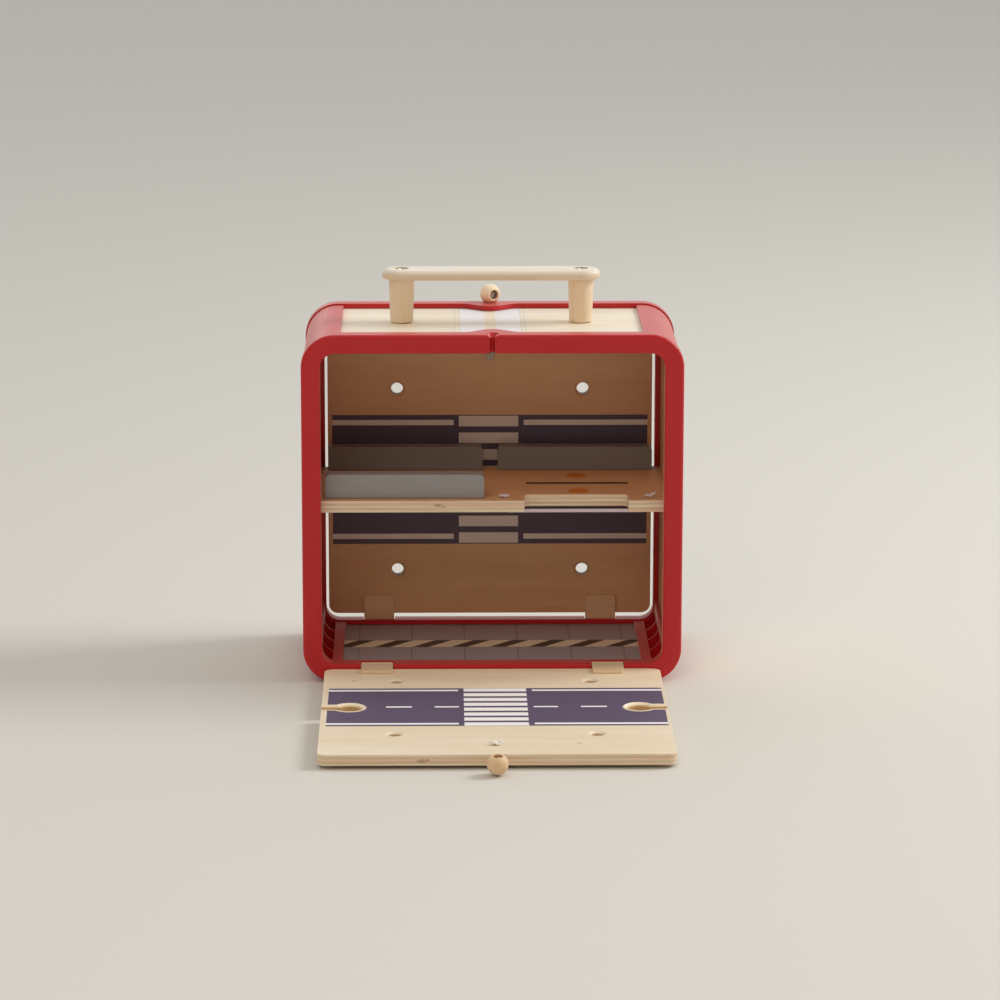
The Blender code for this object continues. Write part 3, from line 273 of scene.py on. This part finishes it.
class Finish:
    """A node material built up in small steps. Places are in metres in the model's frame."""

    def __init__(self, name, roughness=0.5, **settings):
        self.material = bpy.data.materials.new(name)
        self.material.use_nodes = True
        self.tree = self.material.node_tree
        self.shader = self.tree.nodes["Principled BSDF"]
        self.shader.inputs["Roughness"].default_value = roughness
        for label, amount in settings.items():
            self.shader.inputs[label.replace("_", " ")].default_value = amount
        coordinates = self.node("ShaderNodeTexCoord")
        self.place = coordinates.outputs["Object"]
        self.axes = self.split(self.place)
        self.facing = self.split(coordinates.outputs["Normal"])

    def node(self, kind, *inputs, **settings):
        """A node with its first inputs linked or set, in order."""
        made = self.tree.nodes.new(kind)
        for label, setting in settings.items():
            setattr(made, label, setting)
        for socket, given in zip([s for s in made.inputs if s.enabled], inputs):
            self.feed(socket, given)
        return made

    def feed(self, socket, given):
        if isinstance(given, bpy.types.NodeSocket):
            self.tree.links.new(given, socket)
        else:
            socket.default_value = given

    def split(self, vector):
        return self.node("ShaderNodeSeparateXYZ", vector).outputs[:]

    def math(self, operation, *inputs):
        return self.node("ShaderNodeMath", *inputs, operation=operation).outputs[0]

    def vector(self, operation, *inputs):
        return self.node("ShaderNodeVectorMath", *inputs, operation=operation).outputs[0]

    def length(self, vector):
        return self.node("ShaderNodeVectorMath", vector, operation="LENGTH").outputs["Value"]

    def total(self, first, *others):
        for other in others:
            first = self.math("ADD", first, other)
        return first

    def product(self, first, *others):
        for other in others:
            first = self.math("MULTIPLY", first, other)
        return first

    def either(self, first, *others):
        for other in others:
            first = self.math("MAXIMUM", first, other)
        return first

    def past(self, value, place):
        """The value, in metres, less a place in millimetres."""
        return self.math("SUBTRACT", value, place * MM)

    def above(self, value, size):
        """1 where the value, in metres, is more than a size in millimetres."""
        return self.math("GREATER_THAN", value, size * MM)

    def below(self, value, size):
        """1 where the value, in metres, is less than a size in millimetres."""
        return self.math("LESS_THAN", value, size * MM)

    def between(self, value, low, high):
        """1 where the value, in metres, is between two sizes in millimetres."""
        return self.product(self.above(value, low), self.below(value, high))

    def in_any(self, value, places):
        """1 where the value is in any of the places, each a low and a high size."""
        return self.either(*[self.between(value, low, high) for low, high in places])

    def faces_up(self):
        return self.math("GREATER_THAN", self.facing[2], 0.9)

    def away_from(self, place):
        """The way to each point from a place in millimetres."""
        return self.vector("SUBTRACT", self.place, tuple(part * MM for part in place))

    def mix(self, share, first, second, blend="MIX"):
        made = self.node("ShaderNodeMix", data_type="RGBA", blend_type=blend)
        for label, given in (("Factor_Float", share), ("A_Color", first), ("B_Color", second)):
            self.feed(next(s for s in made.inputs if s.identifier == label), given)
        return next(s for s in made.outputs if s.identifier == "Result_Color")

    def tint(self, share, colour, strength):
        """The colour multiplied by strength, red, green and blue, where share is 1."""
        return self.mix(share, colour, (*strength, 1), "MULTIPLY")

    def noise(self, frequency, detail=2.0, roughness=0.5):
        """Noise with so many waves to a metre along X, Y and Z."""
        made = self.node("ShaderNodeTexNoise")
        self.feed(made.inputs["Vector"], self.vector("MULTIPLY", self.place, frequency))
        made.inputs["Scale"].default_value = 1
        made.inputs["Detail"].default_value = detail
        made.inputs["Roughness"].default_value = roughness
        return made.outputs["Fac"]

    def ramp(self, value, low, high):
        """0 at low and 1 at high, straight in between."""
        made = self.node("ShaderNodeMapRange")
        self.feed(made.inputs["Value"], value)
        made.inputs["From Min"].default_value = low
        made.inputs["From Max"].default_value = high
        return made.outputs["Result"]

    def colour(self, given):
        self.feed(self.shader.inputs["Base Color"], given)

    def bump(self, height, depth, strength=1.0):
        made = self.node("ShaderNodeBump")
        made.inputs["Strength"].default_value = strength
        made.inputs["Distance"].default_value = depth * MM
        self.feed(made.inputs["Height"], height)
        self.tree.links.new(made.outputs["Normal"], self.shader.inputs["Normal"])


# Woods

# Waves to a metre along X, Y and Z of the broad figure and the fine fibres, by the way the grain runs
GRAIN = {
    "X": ((9, 90, 90), (70, 1500, 1500)),
    "Y": ((90, 9, 90), (1500, 70, 1500)),
    "Z": ((90, 90, 9), (1500, 1500, 70)),
}
PALE_BIRCH = srgb(245, 234, 211)
DARK_BIRCH = srgb(231, 213, 180)
SAPWOOD = srgb(232, 190, 162)
GLUE = srgb(168, 128, 84)
TWIG = srgb(150, 104, 56)
TWIG_SHAPE = (1, 2.2, 2.2)
BORE_RADIUS = 2.3
BORE_FADE = 0.5


def wood_colour(finish, pale, dark, grain):
    """Broad figure and fine fibres that run along the grain; also gives the fibres for a bump."""
    broad, fine = GRAIN[grain]
    figure = finish.noise(broad, 3, 0.6)
    fibres = finish.noise(fine, 2, 0.6)
    shade = finish.total(finish.product(finish.ramp(figure, 0.3, 0.7), 0.62),
                         finish.product(finish.ramp(fibres, 0.3, 0.7), 0.38))
    return finish.mix(shade, pale, dark), fibres


def ply_layers(finish, axis, low, thickness, layers):
    """The layers in an edge, in two tones with streaks, some sapwood and thin lines of glue."""
    height = finish.past(finish.axes["XYZ".index(axis)], low)
    layer = finish.product(height, layers / (thickness * MM))
    odd = finish.math("GREATER_THAN", finish.math("PINGPONG", finish.math("FLOOR", layer), 1.0), 0.5)
    streaks = finish.noise([1500 if letter == axis else 26 for letter in "XYZ"], 3, 0.6)
    streaked = finish.ramp(streaks, 0.35, 0.65)
    outer = finish.mix(streaked, srgb(248, 236, 210), srgb(236, 220, 190))
    inner = finish.mix(streaked, srgb(234, 218, 190), srgb(212, 192, 158))
    edge = finish.mix(odd, outer, inner)
    sapwood = finish.noise([420 if letter == axis else 9 for letter in "XYZ"], 2)
    edge = finish.mix(finish.product(finish.ramp(sapwood, 0.44, 0.6), 0.5), edge, SAPWOOD)
    glue = finish.math("LESS_THAN", finish.math("PINGPONG", layer, 0.5), 0.05)
    return finish.mix(finish.product(glue, finish.ramp(streaks, 0.3, 0.8), 0.5), edge, GLUE)


def plywood(name, axis, low, thickness, grain, prints, layers=5, pale=PALE_BIRCH, dark=DARK_BIRCH):
    """Birch plywood: grain on its faces and layers on its edges, both of which prints may change."""
    finish = Finish(name, 0.52)
    face, fibres = wood_colour(finish, pale, dark, grain)
    face, edge = prints(finish, face, ply_layers(finish, axis, low, thickness, layers))
    facing = finish.math("ABSOLUTE", finish.facing["XYZ".index(axis)])
    finish.colour(finish.mix(finish.math("GREATER_THAN", facing, 0.6), edge, face))
    finish.bump(fibres, 0.03, 0.6)
    return finish.material


def twig_marks(finish, base, places):
    """Small brown marks of twigs in the veneer; each place is x, y, z and half a length."""
    for *place, half in places:
        distance = finish.length(finish.vector("MULTIPLY", finish.away_from(place), TWIG_SHAPE))
        share = finish.ramp(distance, half * MM, half * 0.25 * MM)
        base = finish.mix(finish.product(share, 0.6), base, TWIG)
    return base


def turned_wood(name, grain, pale, dark, change=None):
    """Solid wood; change may alter its colour."""
    finish = Finish(name, 0.5)
    colour, fibres = wood_colour(finish, pale, dark, grain)
    finish.colour(change(finish, colour) if change else colour)
    finish.bump(fibres, 0.03, 0.5)
    return finish.material


def bar_painted_shade(finish, colour):
    """The bar's sides and underside are tinted warmer and darker than its top, as painted shade."""
    return finish.tint(finish.ramp(finish.facing[2], 0.62, 0.3), colour, (0.98, 0.88, 0.76))


def tab_painted_highlight(finish, colour):
    """A hinge tab's rounded outer edge and sides are painted paler than its top face, as a painted highlight.
    """
    return finish.tint(finish.ramp(finish.facing[2], 0.75, 0.4), colour, (1.12, 1.14, 1.16))


def bore_painted_shade(centre, along, brown):
    """Darkens the wall of a bead's bore with brown painted shade: centre and along give its line."""
    def change(finish, colour):
        distance = finish.length(finish.vector("CROSS_PRODUCT", finish.away_from(centre), along))
        wall = finish.ramp(distance, (BORE_RADIUS + BORE_FADE) * MM, BORE_RADIUS * MM)
        return finish.mix(wall, colour, brown)
    return change


# Prints of the plywood, and its painted light and shade, with sizes in millimetres

# Warm painted shade, multiplied into inner faces inside the case where little light reaches
INSIDE_PAINTED_SHADE = (0.9, 0.62, 0.44)

# The roads: their middle is placed from the hinge edge, their lines from that middle, the rest along X
ROAD_MIDDLE = 79.1
ROAD_HALF = 37.95
SIDE_LINE = (ROAD_HALF - 6, ROAD_HALF - 2.9)
SIDE_LINE_STOPS = (-20.8, 19.4)
DASH_HALF = 1.2
DASHES = ((-58.3, -44.4), (-32.2, -19.1), (21, 34.1), (46.3, 60.4))
CROSSING = (-17.8, 16.3)
CROSSING_START = 0.55
CROSSING_PITCH = 9.8
CROSSING_STRIPE = 6.2
FRONT_ROAD = (-89.7, 91.4)
FRONT_MARKS_SHIFT = 1.4
REAR_ROAD = (-90.5, 90.5)

# The front door's track sockets, with the bare wood around them and the heights where their walls brown
SOCKET_PLACE = 77.8
SOCKET_HALF = 12
SOCKET_MOUTH = 92.9
SOCKET_BROWNING = (7.2, 6.5)
BARE_SHIFT = 1.3
BARE_RADIUS = 9.1
BARE_NECK_HALF = 5.4

# The front door's face: how far from its hinge edge its painted light starts and where it is full, and its
# twigs
PAINTED_LIGHT_NEAR_HINGE = (50, 5)
DOOR_FACE_TWIGS = ((-76, 12.5, FRONT_DOOR_TOP, 2.4), (43, -113, FRONT_DOOR_TOP, 2.6))
DOOR_EDGE_TWIGS = ((-39, FRONT_DOOR_FREE_EDGE, 4.4, 3.2), (-36, FRONT_DOOR_FREE_EDGE, 4.9, 1.6))

# The rear door's peg holes, from the middle of the door and of the road
PEG_HOLES = (48, 59)

# The top's bands and lines, the floor's tiles and stripes, and the shelf's dots, slot and twigs
TOP_BANDS = ((-17.4, -3.6), (2.4, 16.2))
TOP_LINES = ((-20.7, -20.1), (-18.1, -17.5), (16.3, 16.9), (18.4, 19))
TILE_HALF = 15
GROUT_HALF = 0.35
STRIPE_BAND = (-5.7, 9.5)
STRIPE_SLANT = 0.87
STRIPE_PLACE = -17.96
STRIPE_PITCH = 21.9
STRIPE_WIDTH = 9.4
DOTS = ((48.7, CASE_Y - 19.8, 0), (48.5, CASE_Y + 20.7, 0))
DOT_RADIUS = 6
SLOT_X = (19, 78)
SLOT_Y = (90, 97)
SHELF_EDGE_TWIGS = ((-30, SHELF_FRONT, 98.6, 3.0), (-27, SHELF_FRONT, 97.6, 1.6))


def road_marks(finish, offset, along, shift, ends):
    """1 on the side lines, the dashes and the crossing of a road; offset is from its middle."""
    across = finish.axes[0]
    stops = ((ends[0], SIDE_LINE_STOPS[0] + shift), (SIDE_LINE_STOPS[1] + shift, ends[1]))
    lines = finish.product(finish.between(offset, *SIDE_LINE), finish.in_any(across, stops))
    dashes = finish.product(finish.below(offset, DASH_HALF), finish.in_any(across, DASHES))
    from_side = finish.past(along, ROAD_MIDDLE - ROAD_HALF + CROSSING_START)
    stripe = finish.below(finish.math("FLOORED_MODULO", from_side, CROSSING_PITCH * MM), CROSSING_STRIPE)
    crossing = finish.product(finish.between(across, CROSSING[0] + shift, CROSSING[1] + shift), stripe)
    return finish.either(lines, dashes, crossing)


def road_print(finish, base, along, inked, shift, ends, strength=(1, 1, 1)):
    """The printed road of a door: along runs from the hinge edge, inked is 1 where ink can be."""
    navy = finish.mix(finish.noise((700, 700, 700), 2), srgb(105, 95, 122), srgb(88, 79, 104))
    offset = finish.math("ABSOLUTE", finish.past(along, ROAD_MIDDLE))
    road = finish.product(finish.between(finish.axes[0], *ends), finish.below(offset, ROAD_HALF))
    marks = finish.product(road_marks(finish, offset, along, shift, ends), road)
    printed = finish.tint(1.0, finish.mix(marks, navy, srgb(255, 254, 253)), strength)
    return finish.mix(finish.product(road, inked), base, printed)


def bare_ring(finish, across, past_middle):
    """1 where the ink stops short of the track sockets, a little out of line with them."""
    from_centre = finish.past(across, SOCKET_PLACE)
    sideways = finish.past(past_middle, BARE_SHIFT)
    distance = finish.length(finish.node("ShaderNodeCombineXYZ", from_centre, sideways, 0.0).outputs[0])
    neck = finish.product(finish.above(from_centre, 0.0),
                          finish.between(sideways, -BARE_NECK_HALF, BARE_NECK_HALF))
    return finish.either(finish.below(distance, BARE_RADIUS), neck)


def front_door_print(finish, face, edge):
    """The road, with bare wood around the track sockets, whose walls are paler at the top and darker brown
    lower down, and painted light near the hinge edge.
    """
    along = finish.math("SUBTRACT", FRONT_DOOR_HINGE_EDGE * MM, finish.axes[1])
    across = finish.math("ABSOLUTE", finish.axes[0])
    past_middle = finish.past(along, ROAD_MIDDLE)
    rim = finish.product(finish.math("GREATER_THAN", finish.facing[2], 0.5),
                         finish.math("LESS_THAN", finish.facing[2], 0.9))
    sockets = finish.product(finish.below(across, SOCKET_MOUTH),
                             finish.below(finish.math("ABSOLUTE", past_middle), SOCKET_HALF))
    # The socket walls are paler at the top and darker brown lower down.
    browned = finish.ramp(finish.axes[2], *[height * MM for height in SOCKET_BROWNING])
    bored = finish.mix(browned, srgb(252, 240, 214), srgb(212, 176, 126))
    # Painted light: the face turns paler and warmer towards the hinge edge.
    painted_light_near_hinge = finish.ramp(along, *[place * MM for place in PAINTED_LIGHT_NEAR_HINGE])
    face = finish.tint(painted_light_near_hinge, face, (1.12, 1.09, 1.05))
    face = finish.mix(rim, face, finish.mix(sockets, srgb(242, 228, 200), bored))
    face = twig_marks(finish, face, DOOR_FACE_TWIGS)
    edge = twig_marks(finish, finish.mix(sockets, edge, bored), DOOR_EDGE_TWIGS)
    bare = bare_ring(finish, across, past_middle)
    inked = finish.product(finish.faces_up(), finish.math("SUBTRACT", 1.0, bare))
    return road_print(finish, face, along, inked, FRONT_MARKS_SHIFT, FRONT_ROAD), edge


def rear_door_print(finish, face, edge):
    """The road, with warm painted shade on the inner face that looks into the bay, its ink darkened as
    painted shade, and painted shade in the peg holes.
    """
    along = finish.past(finish.axes[2], REAR_DOOR_HINGE_EDGE)
    offset = finish.math("ABSOLUTE", finish.past(along, ROAD_MIDDLE))
    peg_hole_shade = finish.product(finish.between(finish.math("ABSOLUTE", finish.axes[0]), *PEG_HOLES),
                          finish.between(offset, *PEG_HOLES))
    # Warm painted shade on the inner face and the peg holes' chamfers.
    face = finish.tint(finish.math("LESS_THAN", finish.facing[1], -0.5), face, (0.93, 0.68, 0.5))
    inside = finish.math("LESS_THAN", finish.facing[1], -0.9)
    # The ink is darkened as painted shade.
    face = road_print(finish, face, along, inside, 0, REAR_ROAD, (0.86, 0.82, 0.8))
    # The peg holes' walls get dark brown painted shade.
    return face, finish.mix(peg_hole_shade, edge, srgb(92, 56, 32))


def top_panel_print(finish, face, edge):
    """Two white bands on top, with two fine lines beside each, and warm painted shade on the underside."""
    bands = finish.product(finish.in_any(finish.axes[0], TOP_BANDS), 0.92)
    lines = finish.product(finish.in_any(finish.axes[0], TOP_LINES), 0.55)
    marked = finish.mix(lines, finish.mix(bands, face, srgb(236, 236, 240)), srgb(196, 204, 196))
    # The underside gets warm painted shade.
    return finish.mix(finish.faces_up(), finish.tint(1.0, face, INSIDE_PAINTED_SHADE), marked), edge


def side_panel_print(finish, face, edge):
    outwards = finish.product(finish.facing[0], finish.math("SIGN", finish.axes[0]))
    # Inner faces get warm painted shade.
    return finish.tint(finish.math("LESS_THAN", outwards, -0.9), face, INSIDE_PAINTED_SHADE), edge


def floor_print(finish, face, edge):
    """Grey tiles, with a band of slanting black and cream stripes along the middle."""
    x = finish.axes[0]
    past_middle = finish.past(finish.axes[1], CASE_Y)
    tile = finish.mix(finish.noise((40, 400, 40), 3), srgb(174, 165, 172), srgb(158, 149, 156))
    from_line = finish.math("PINGPONG", finish.past(x, TILE_HALF), TILE_HALF * MM)
    grout = finish.product(finish.below(from_line, GROUT_HALF), 0.6)
    tile = finish.mix(grout, tile, srgb(110, 102, 100))
    slanted = finish.math("SUBTRACT", x, finish.product(past_middle, STRIPE_SLANT))
    from_stripe = finish.math("FLOORED_MODULO", finish.past(slanted, STRIPE_PLACE), STRIPE_PITCH * MM)
    stripes = finish.mix(finish.below(from_stripe, STRIPE_WIDTH), srgb(236, 222, 196), srgb(62, 48, 40))
    band = finish.between(past_middle, *STRIPE_BAND)
    return finish.mix(finish.faces_up(), face, finish.mix(band, tile, stripes)), edge


def shelf_print(finish, face, edge):
    """Two printed dots, one on each side of the slot, on a top in warm painted shade, with the slot's walls
    darkened by painted shade.
    """
    # The shelf's face gets warm painted shade.
    marked = finish.tint(1.0, face, INSIDE_PAINTED_SHADE)
    for centre in DOTS:
        distance = finish.length(finish.vector("MULTIPLY", finish.away_from(centre), (1, 1, 0)))
        dot = finish.product(finish.below(distance, DOT_RADIUS), finish.faces_up())
        marked = finish.mix(dot, marked, srgb(222, 132, 40))
    # Painted shade: the slot's walls are darkened to deep brown.
    slot = finish.product(finish.between(finish.axes[0], *SLOT_X), finish.between(finish.axes[1], *SLOT_Y))
    edge = finish.mix(slot, edge, srgb(70, 44, 26))
    return marked, twig_marks(finish, edge, SHELF_EDGE_TWIGS)


# Other materials

def red_plastic():
    finish = Finish("red_plastic", 0.4, Specular_IOR_Level=0.4, Coat_Weight=0.2, Coat_Roughness=0.28,
                    Sheen_Weight=0.6, Sheen_Roughness=0.35, Sheen_Tint=(1.0, 0.62, 0.54, 1.0))
    tone = finish.noise((18, 18, 18), 2)
    finish.colour(finish.mix(tone, srgb(200, 20, 30), srgb(193, 17, 26)))
    finish.bump(finish.noise((2600, 2600, 2600), 2, 0.6), 0.02, 0.35)
    return finish.material


def grey_paint(name, pale, dark):
    finish = Finish(name, 0.5)
    brushed = finish.noise((60, 900, 900), 3, 0.6)
    finish.colour(finish.mix(brushed, pale, dark))
    finish.bump(brushed, 0.03, 0.5)
    return finish.material


def clear_elastic():
    finish = Finish("clear_elastic", 0.3, Transmission_Weight=0.3, IOR=1.45)
    finish.colour(finish.mix(finish.noise((900, 900, 900), 2), srgb(246, 246, 240), srgb(226, 228, 222)))
    return finish.material


def knot_elastic():
    finish = Finish("knot_elastic", 0.35, IOR=1.2, Subsurface_Weight=0.5, Subsurface_Scale=0.001,
                    Subsurface_Radius=(1.0, 1.0, 1.0))
    finish.colour(srgb(254, 252, 240))
    return finish.material


def white_elastic():
    finish = Finish("white_elastic", 0.42)
    woven = finish.noise((2200, 2200, 2200), 2, 0.6)
    finish.colour(finish.mix(woven, srgb(238, 230, 240), srgb(214, 202, 214)))
    finish.bump(woven, 0.08, 0.6)
    return finish.material


def plated_steel():
    finish = Finish("plated_steel", 0.32, Metallic=1.0)
    finish.colour(finish.mix(finish.noise((500, 500, 500), 2), srgb(200, 198, 192), srgb(176, 174, 170)))
    return finish.material


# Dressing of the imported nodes

SOFT_EDGE = 0.4
SMOOTH_BELOW = math.radians(35)
BEVEL_ABOVE = math.radians(50)


def dress(names, material, bevel=0.0):
    """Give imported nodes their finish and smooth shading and, with bevel, softer edges."""
    for name in names:
        node = nodes[name]
        node.data.materials.clear()
        node.data.materials.append(material)
        node.data.shade_smooth()
        node.data.set_sharp_from_angle(angle=SMOOTH_BELOW)
        if bevel:
            modifier = node.modifiers.new("soft_edges", "BEVEL")
            modifier.width = bevel * MM
            modifier.segments = 2
            modifier.limit_method = "ANGLE"
            modifier.angle_limit = BEVEL_ABOVE


def dress_case():
    dress(["front_frame", "rear_frame", "top_left_corner", "top_right_corner", "bottom_left_corner",
           "bottom_right_corner"], red_plastic())
    dress(["top_panel"], plywood("top_panel_ply", "Z", TOP_PANEL_UNDERSIDE, PANEL_THICKNESS, "X",
                                 top_panel_print, 3, srgb(246, 238, 220), srgb(232, 217, 190)))
    dress(["bottom_panel"], plywood("bottom_panel_ply", "Z", BOTTOM_PANEL_UNDERSIDE, PANEL_THICKNESS, "X",
                                    floor_print, 3))
    dress(["left_panel", "right_panel"],
          plywood("side_panel_ply", "X", 0, PANEL_THICKNESS, "Z", side_panel_print, 3))
    dress(["handle_bar"], turned_wood("bar_beech", "X", srgb(240, 236, 222), srgb(226, 214, 192), bar_painted_shade))
    dress(["left_handle_post", "right_handle_post"],
          turned_wood("post_beech", "Z", srgb(250, 235, 209), srgb(236, 211, 176)))


def dress_doors():
    dress(["front_door"], plywood("front_door_ply", "Z", FRONT_DOOR_UNDERSIDE, DOOR_THICKNESS, "X",
                                  front_door_print))
    dress(["rear_door"], plywood("rear_door_ply", "Y", REAR_DOOR_INNER_FACE, DOOR_THICKNESS, "X",
                                 rear_door_print))
    dress(["front_left_hinge_tab", "front_right_hinge_tab"],
          turned_wood("front_tab_wood", "X", srgb(238, 218, 186), srgb(222, 196, 158), tab_painted_highlight), SOFT_EDGE)
    # The rear tabs take a warmer copy of the tab wood, as warm painted shade.
    dress(["rear_left_hinge_tab", "rear_right_hinge_tab"],
          turned_wood("rear_tab_wood_painted_shade", "X", srgb(246, 213, 176), srgb(228, 188, 150)), SOFT_EDGE)
    # The front bead's bore gets brown painted shade.
    dress(["front_latch_bead"],
          turned_wood("front_bead_beech", "Z", srgb(246, 218, 178), srgb(224, 188, 142),
                      bore_painted_shade(FRONT_BEAD, FRONT_BORE, srgb(196, 156, 108))))
    # The rear bead's wood is made paler as painted light, and its bore darker brown as painted shade.
    dress(["rear_latch_bead"],
          turned_wood("rear_bead_beech_painted_light", "Y", srgb(255, 240, 212), srgb(244, 220, 184),
                      bore_painted_shade(REAR_BEAD, REAR_BORE, srgb(134, 92, 62))))


def dress_shelf():
    dress(["shelf"], plywood("shelf_ply", "Z", SHELF_UNDERSIDE, SHELF_THICKNESS, "X", shelf_print), SOFT_EDGE)
    dress(["front_left_wall"], grey_paint("front_grey", srgb(162, 162, 164), srgb(147, 147, 149)))
    # The rear walls take a darker copy of the grey paint, as painted shade.
    dress(["rear_left_wall", "rear_right_wall"],
          grey_paint("rear_grey_painted_shade", srgb(142, 142, 144), srgb(128, 128, 130)))


# Stage

FLOOR_HALF = 12
BRIGHT_WAY = (0, 0.87, 0.5)
DIM_SURROUND = (0.30, 0.24, 0.19, 1)
BRIGHT_SURROUND = (0.80, 0.82, 0.84, 1)
LIT_POINT = (0, 0.05, 0.08)


def make_floor():
    """A plain pale floor."""
    mesh = bpy.data.meshes.new("floor")
    corners = [(x * FLOOR_HALF, y * FLOOR_HALF, 0) for x, y in ((-1, -1), (1, -1), (1, 1), (-1, 1))]
    mesh.from_pydata(corners, [], [(0, 1, 2, 3)])
    floor = add_object("floor", mesh)
    cloth = Finish("pale_floor", 0.9)
    cloth.colour(srgb(216, 214, 206))
    floor.data.materials.append(cloth.material)


def make_surround():
    """A surround that is pale above and behind the object, and dim and warm in front of it."""
    world = bpy.data.worlds.new("surround")
    bpy.context.scene.world = world
    world.use_nodes = True
    tree = world.node_tree
    direction = tree.nodes.new("ShaderNodeTexCoord").outputs["Generated"]
    slope = tree.nodes.new("ShaderNodeVectorMath")
    slope.operation = "DOT_PRODUCT"
    slope.inputs[1].default_value = BRIGHT_WAY
    share = tree.nodes.new("ShaderNodeMapRange")
    share.inputs["From Min"].default_value = -0.35
    share.inputs["From Max"].default_value = 0.75
    ramp = tree.nodes.new("ShaderNodeValToRGB")
    ramp.color_ramp.elements[0].color = DIM_SURROUND
    ramp.color_ramp.elements[1].color = BRIGHT_SURROUND
    tree.links.new(direction, slope.inputs[0])
    tree.links.new(slope.outputs["Value"], share.inputs["Value"])
    tree.links.new(share.outputs["Result"], ramp.inputs["Fac"])
    tree.links.new(ramp.outputs["Color"], tree.nodes["Background"].inputs["Color"])


def add_lamp(name, place, size, power, colour):
    light = bpy.data.lights.new(name, "AREA")
    light.size = size
    light.energy = power
    light.color = colour
    lamp = add_object(name, light)
    lamp.location = place
    lamp.rotation_euler = (Vector(LIT_POINT) - Vector(place)).to_track_quat("-Z", "Y").to_euler()


def make_lamps():
    """A soft key light from the right, and a warm fill light from the front left."""
    add_lamp("key", (1.75, 0.35, 1.5), 0.9, 27, (1.0, 0.99, 0.97))
    add_lamp("fill", (-0.5, -1.9, 1.9), 1.4, 12, (1.0, 0.84, 0.68))


# Camera: its place in millimetres, its turns in degrees and its lens

CAMERA_PLACE = (-33.8, CASE_Y - 2296.5, 604.4)
CAMERA_YAW = 0.9687
CAMERA_PITCH = 12.587
CAMERA_ROLL = 0.0818
LENS = 150.26
SENSOR = 36
FARTHEST_SEEN = 50


def make_camera():
    yaw, pitch, roll = [math.radians(turn) for turn in (CAMERA_YAW, CAMERA_PITCH, CAMERA_ROLL)]
    forward = Vector((math.sin(yaw) * math.cos(pitch), math.cos(yaw) * math.cos(pitch), -math.sin(pitch)))
    level = Vector((math.cos(yaw), -math.sin(yaw), 0))
    upright = level.cross(forward)
    right = math.cos(roll) * level + math.sin(roll) * upright
    up = math.cos(roll) * upright - math.sin(roll) * level
    camera = add_object("camera", bpy.data.cameras.new("camera"))
    camera.data.lens = LENS
    camera.data.sensor_width = SENSOR
    camera.data.clip_end = FARTHEST_SEEN
    turn = Matrix((right, up, -forward)).transposed().to_4x4()
    camera.matrix_world = Matrix.Translation(Vector(CAMERA_PLACE) * MM) @ turn
    bpy.context.scene.camera = camera


make_camera()
latch_elastic = clear_elastic()
make_front_latch(latch_elastic)
make_rear_latch(latch_elastic)
make_shelf_cord(white_elastic())
dress_case()
dress_doors()
dress_shelf()
dress([name for name in nodes if name.endswith(("pin", "screw"))], plated_steel())
make_floor()
make_surround()
make_lamps()
bpy.context.scene.view_settings.view_transform = "Standard"
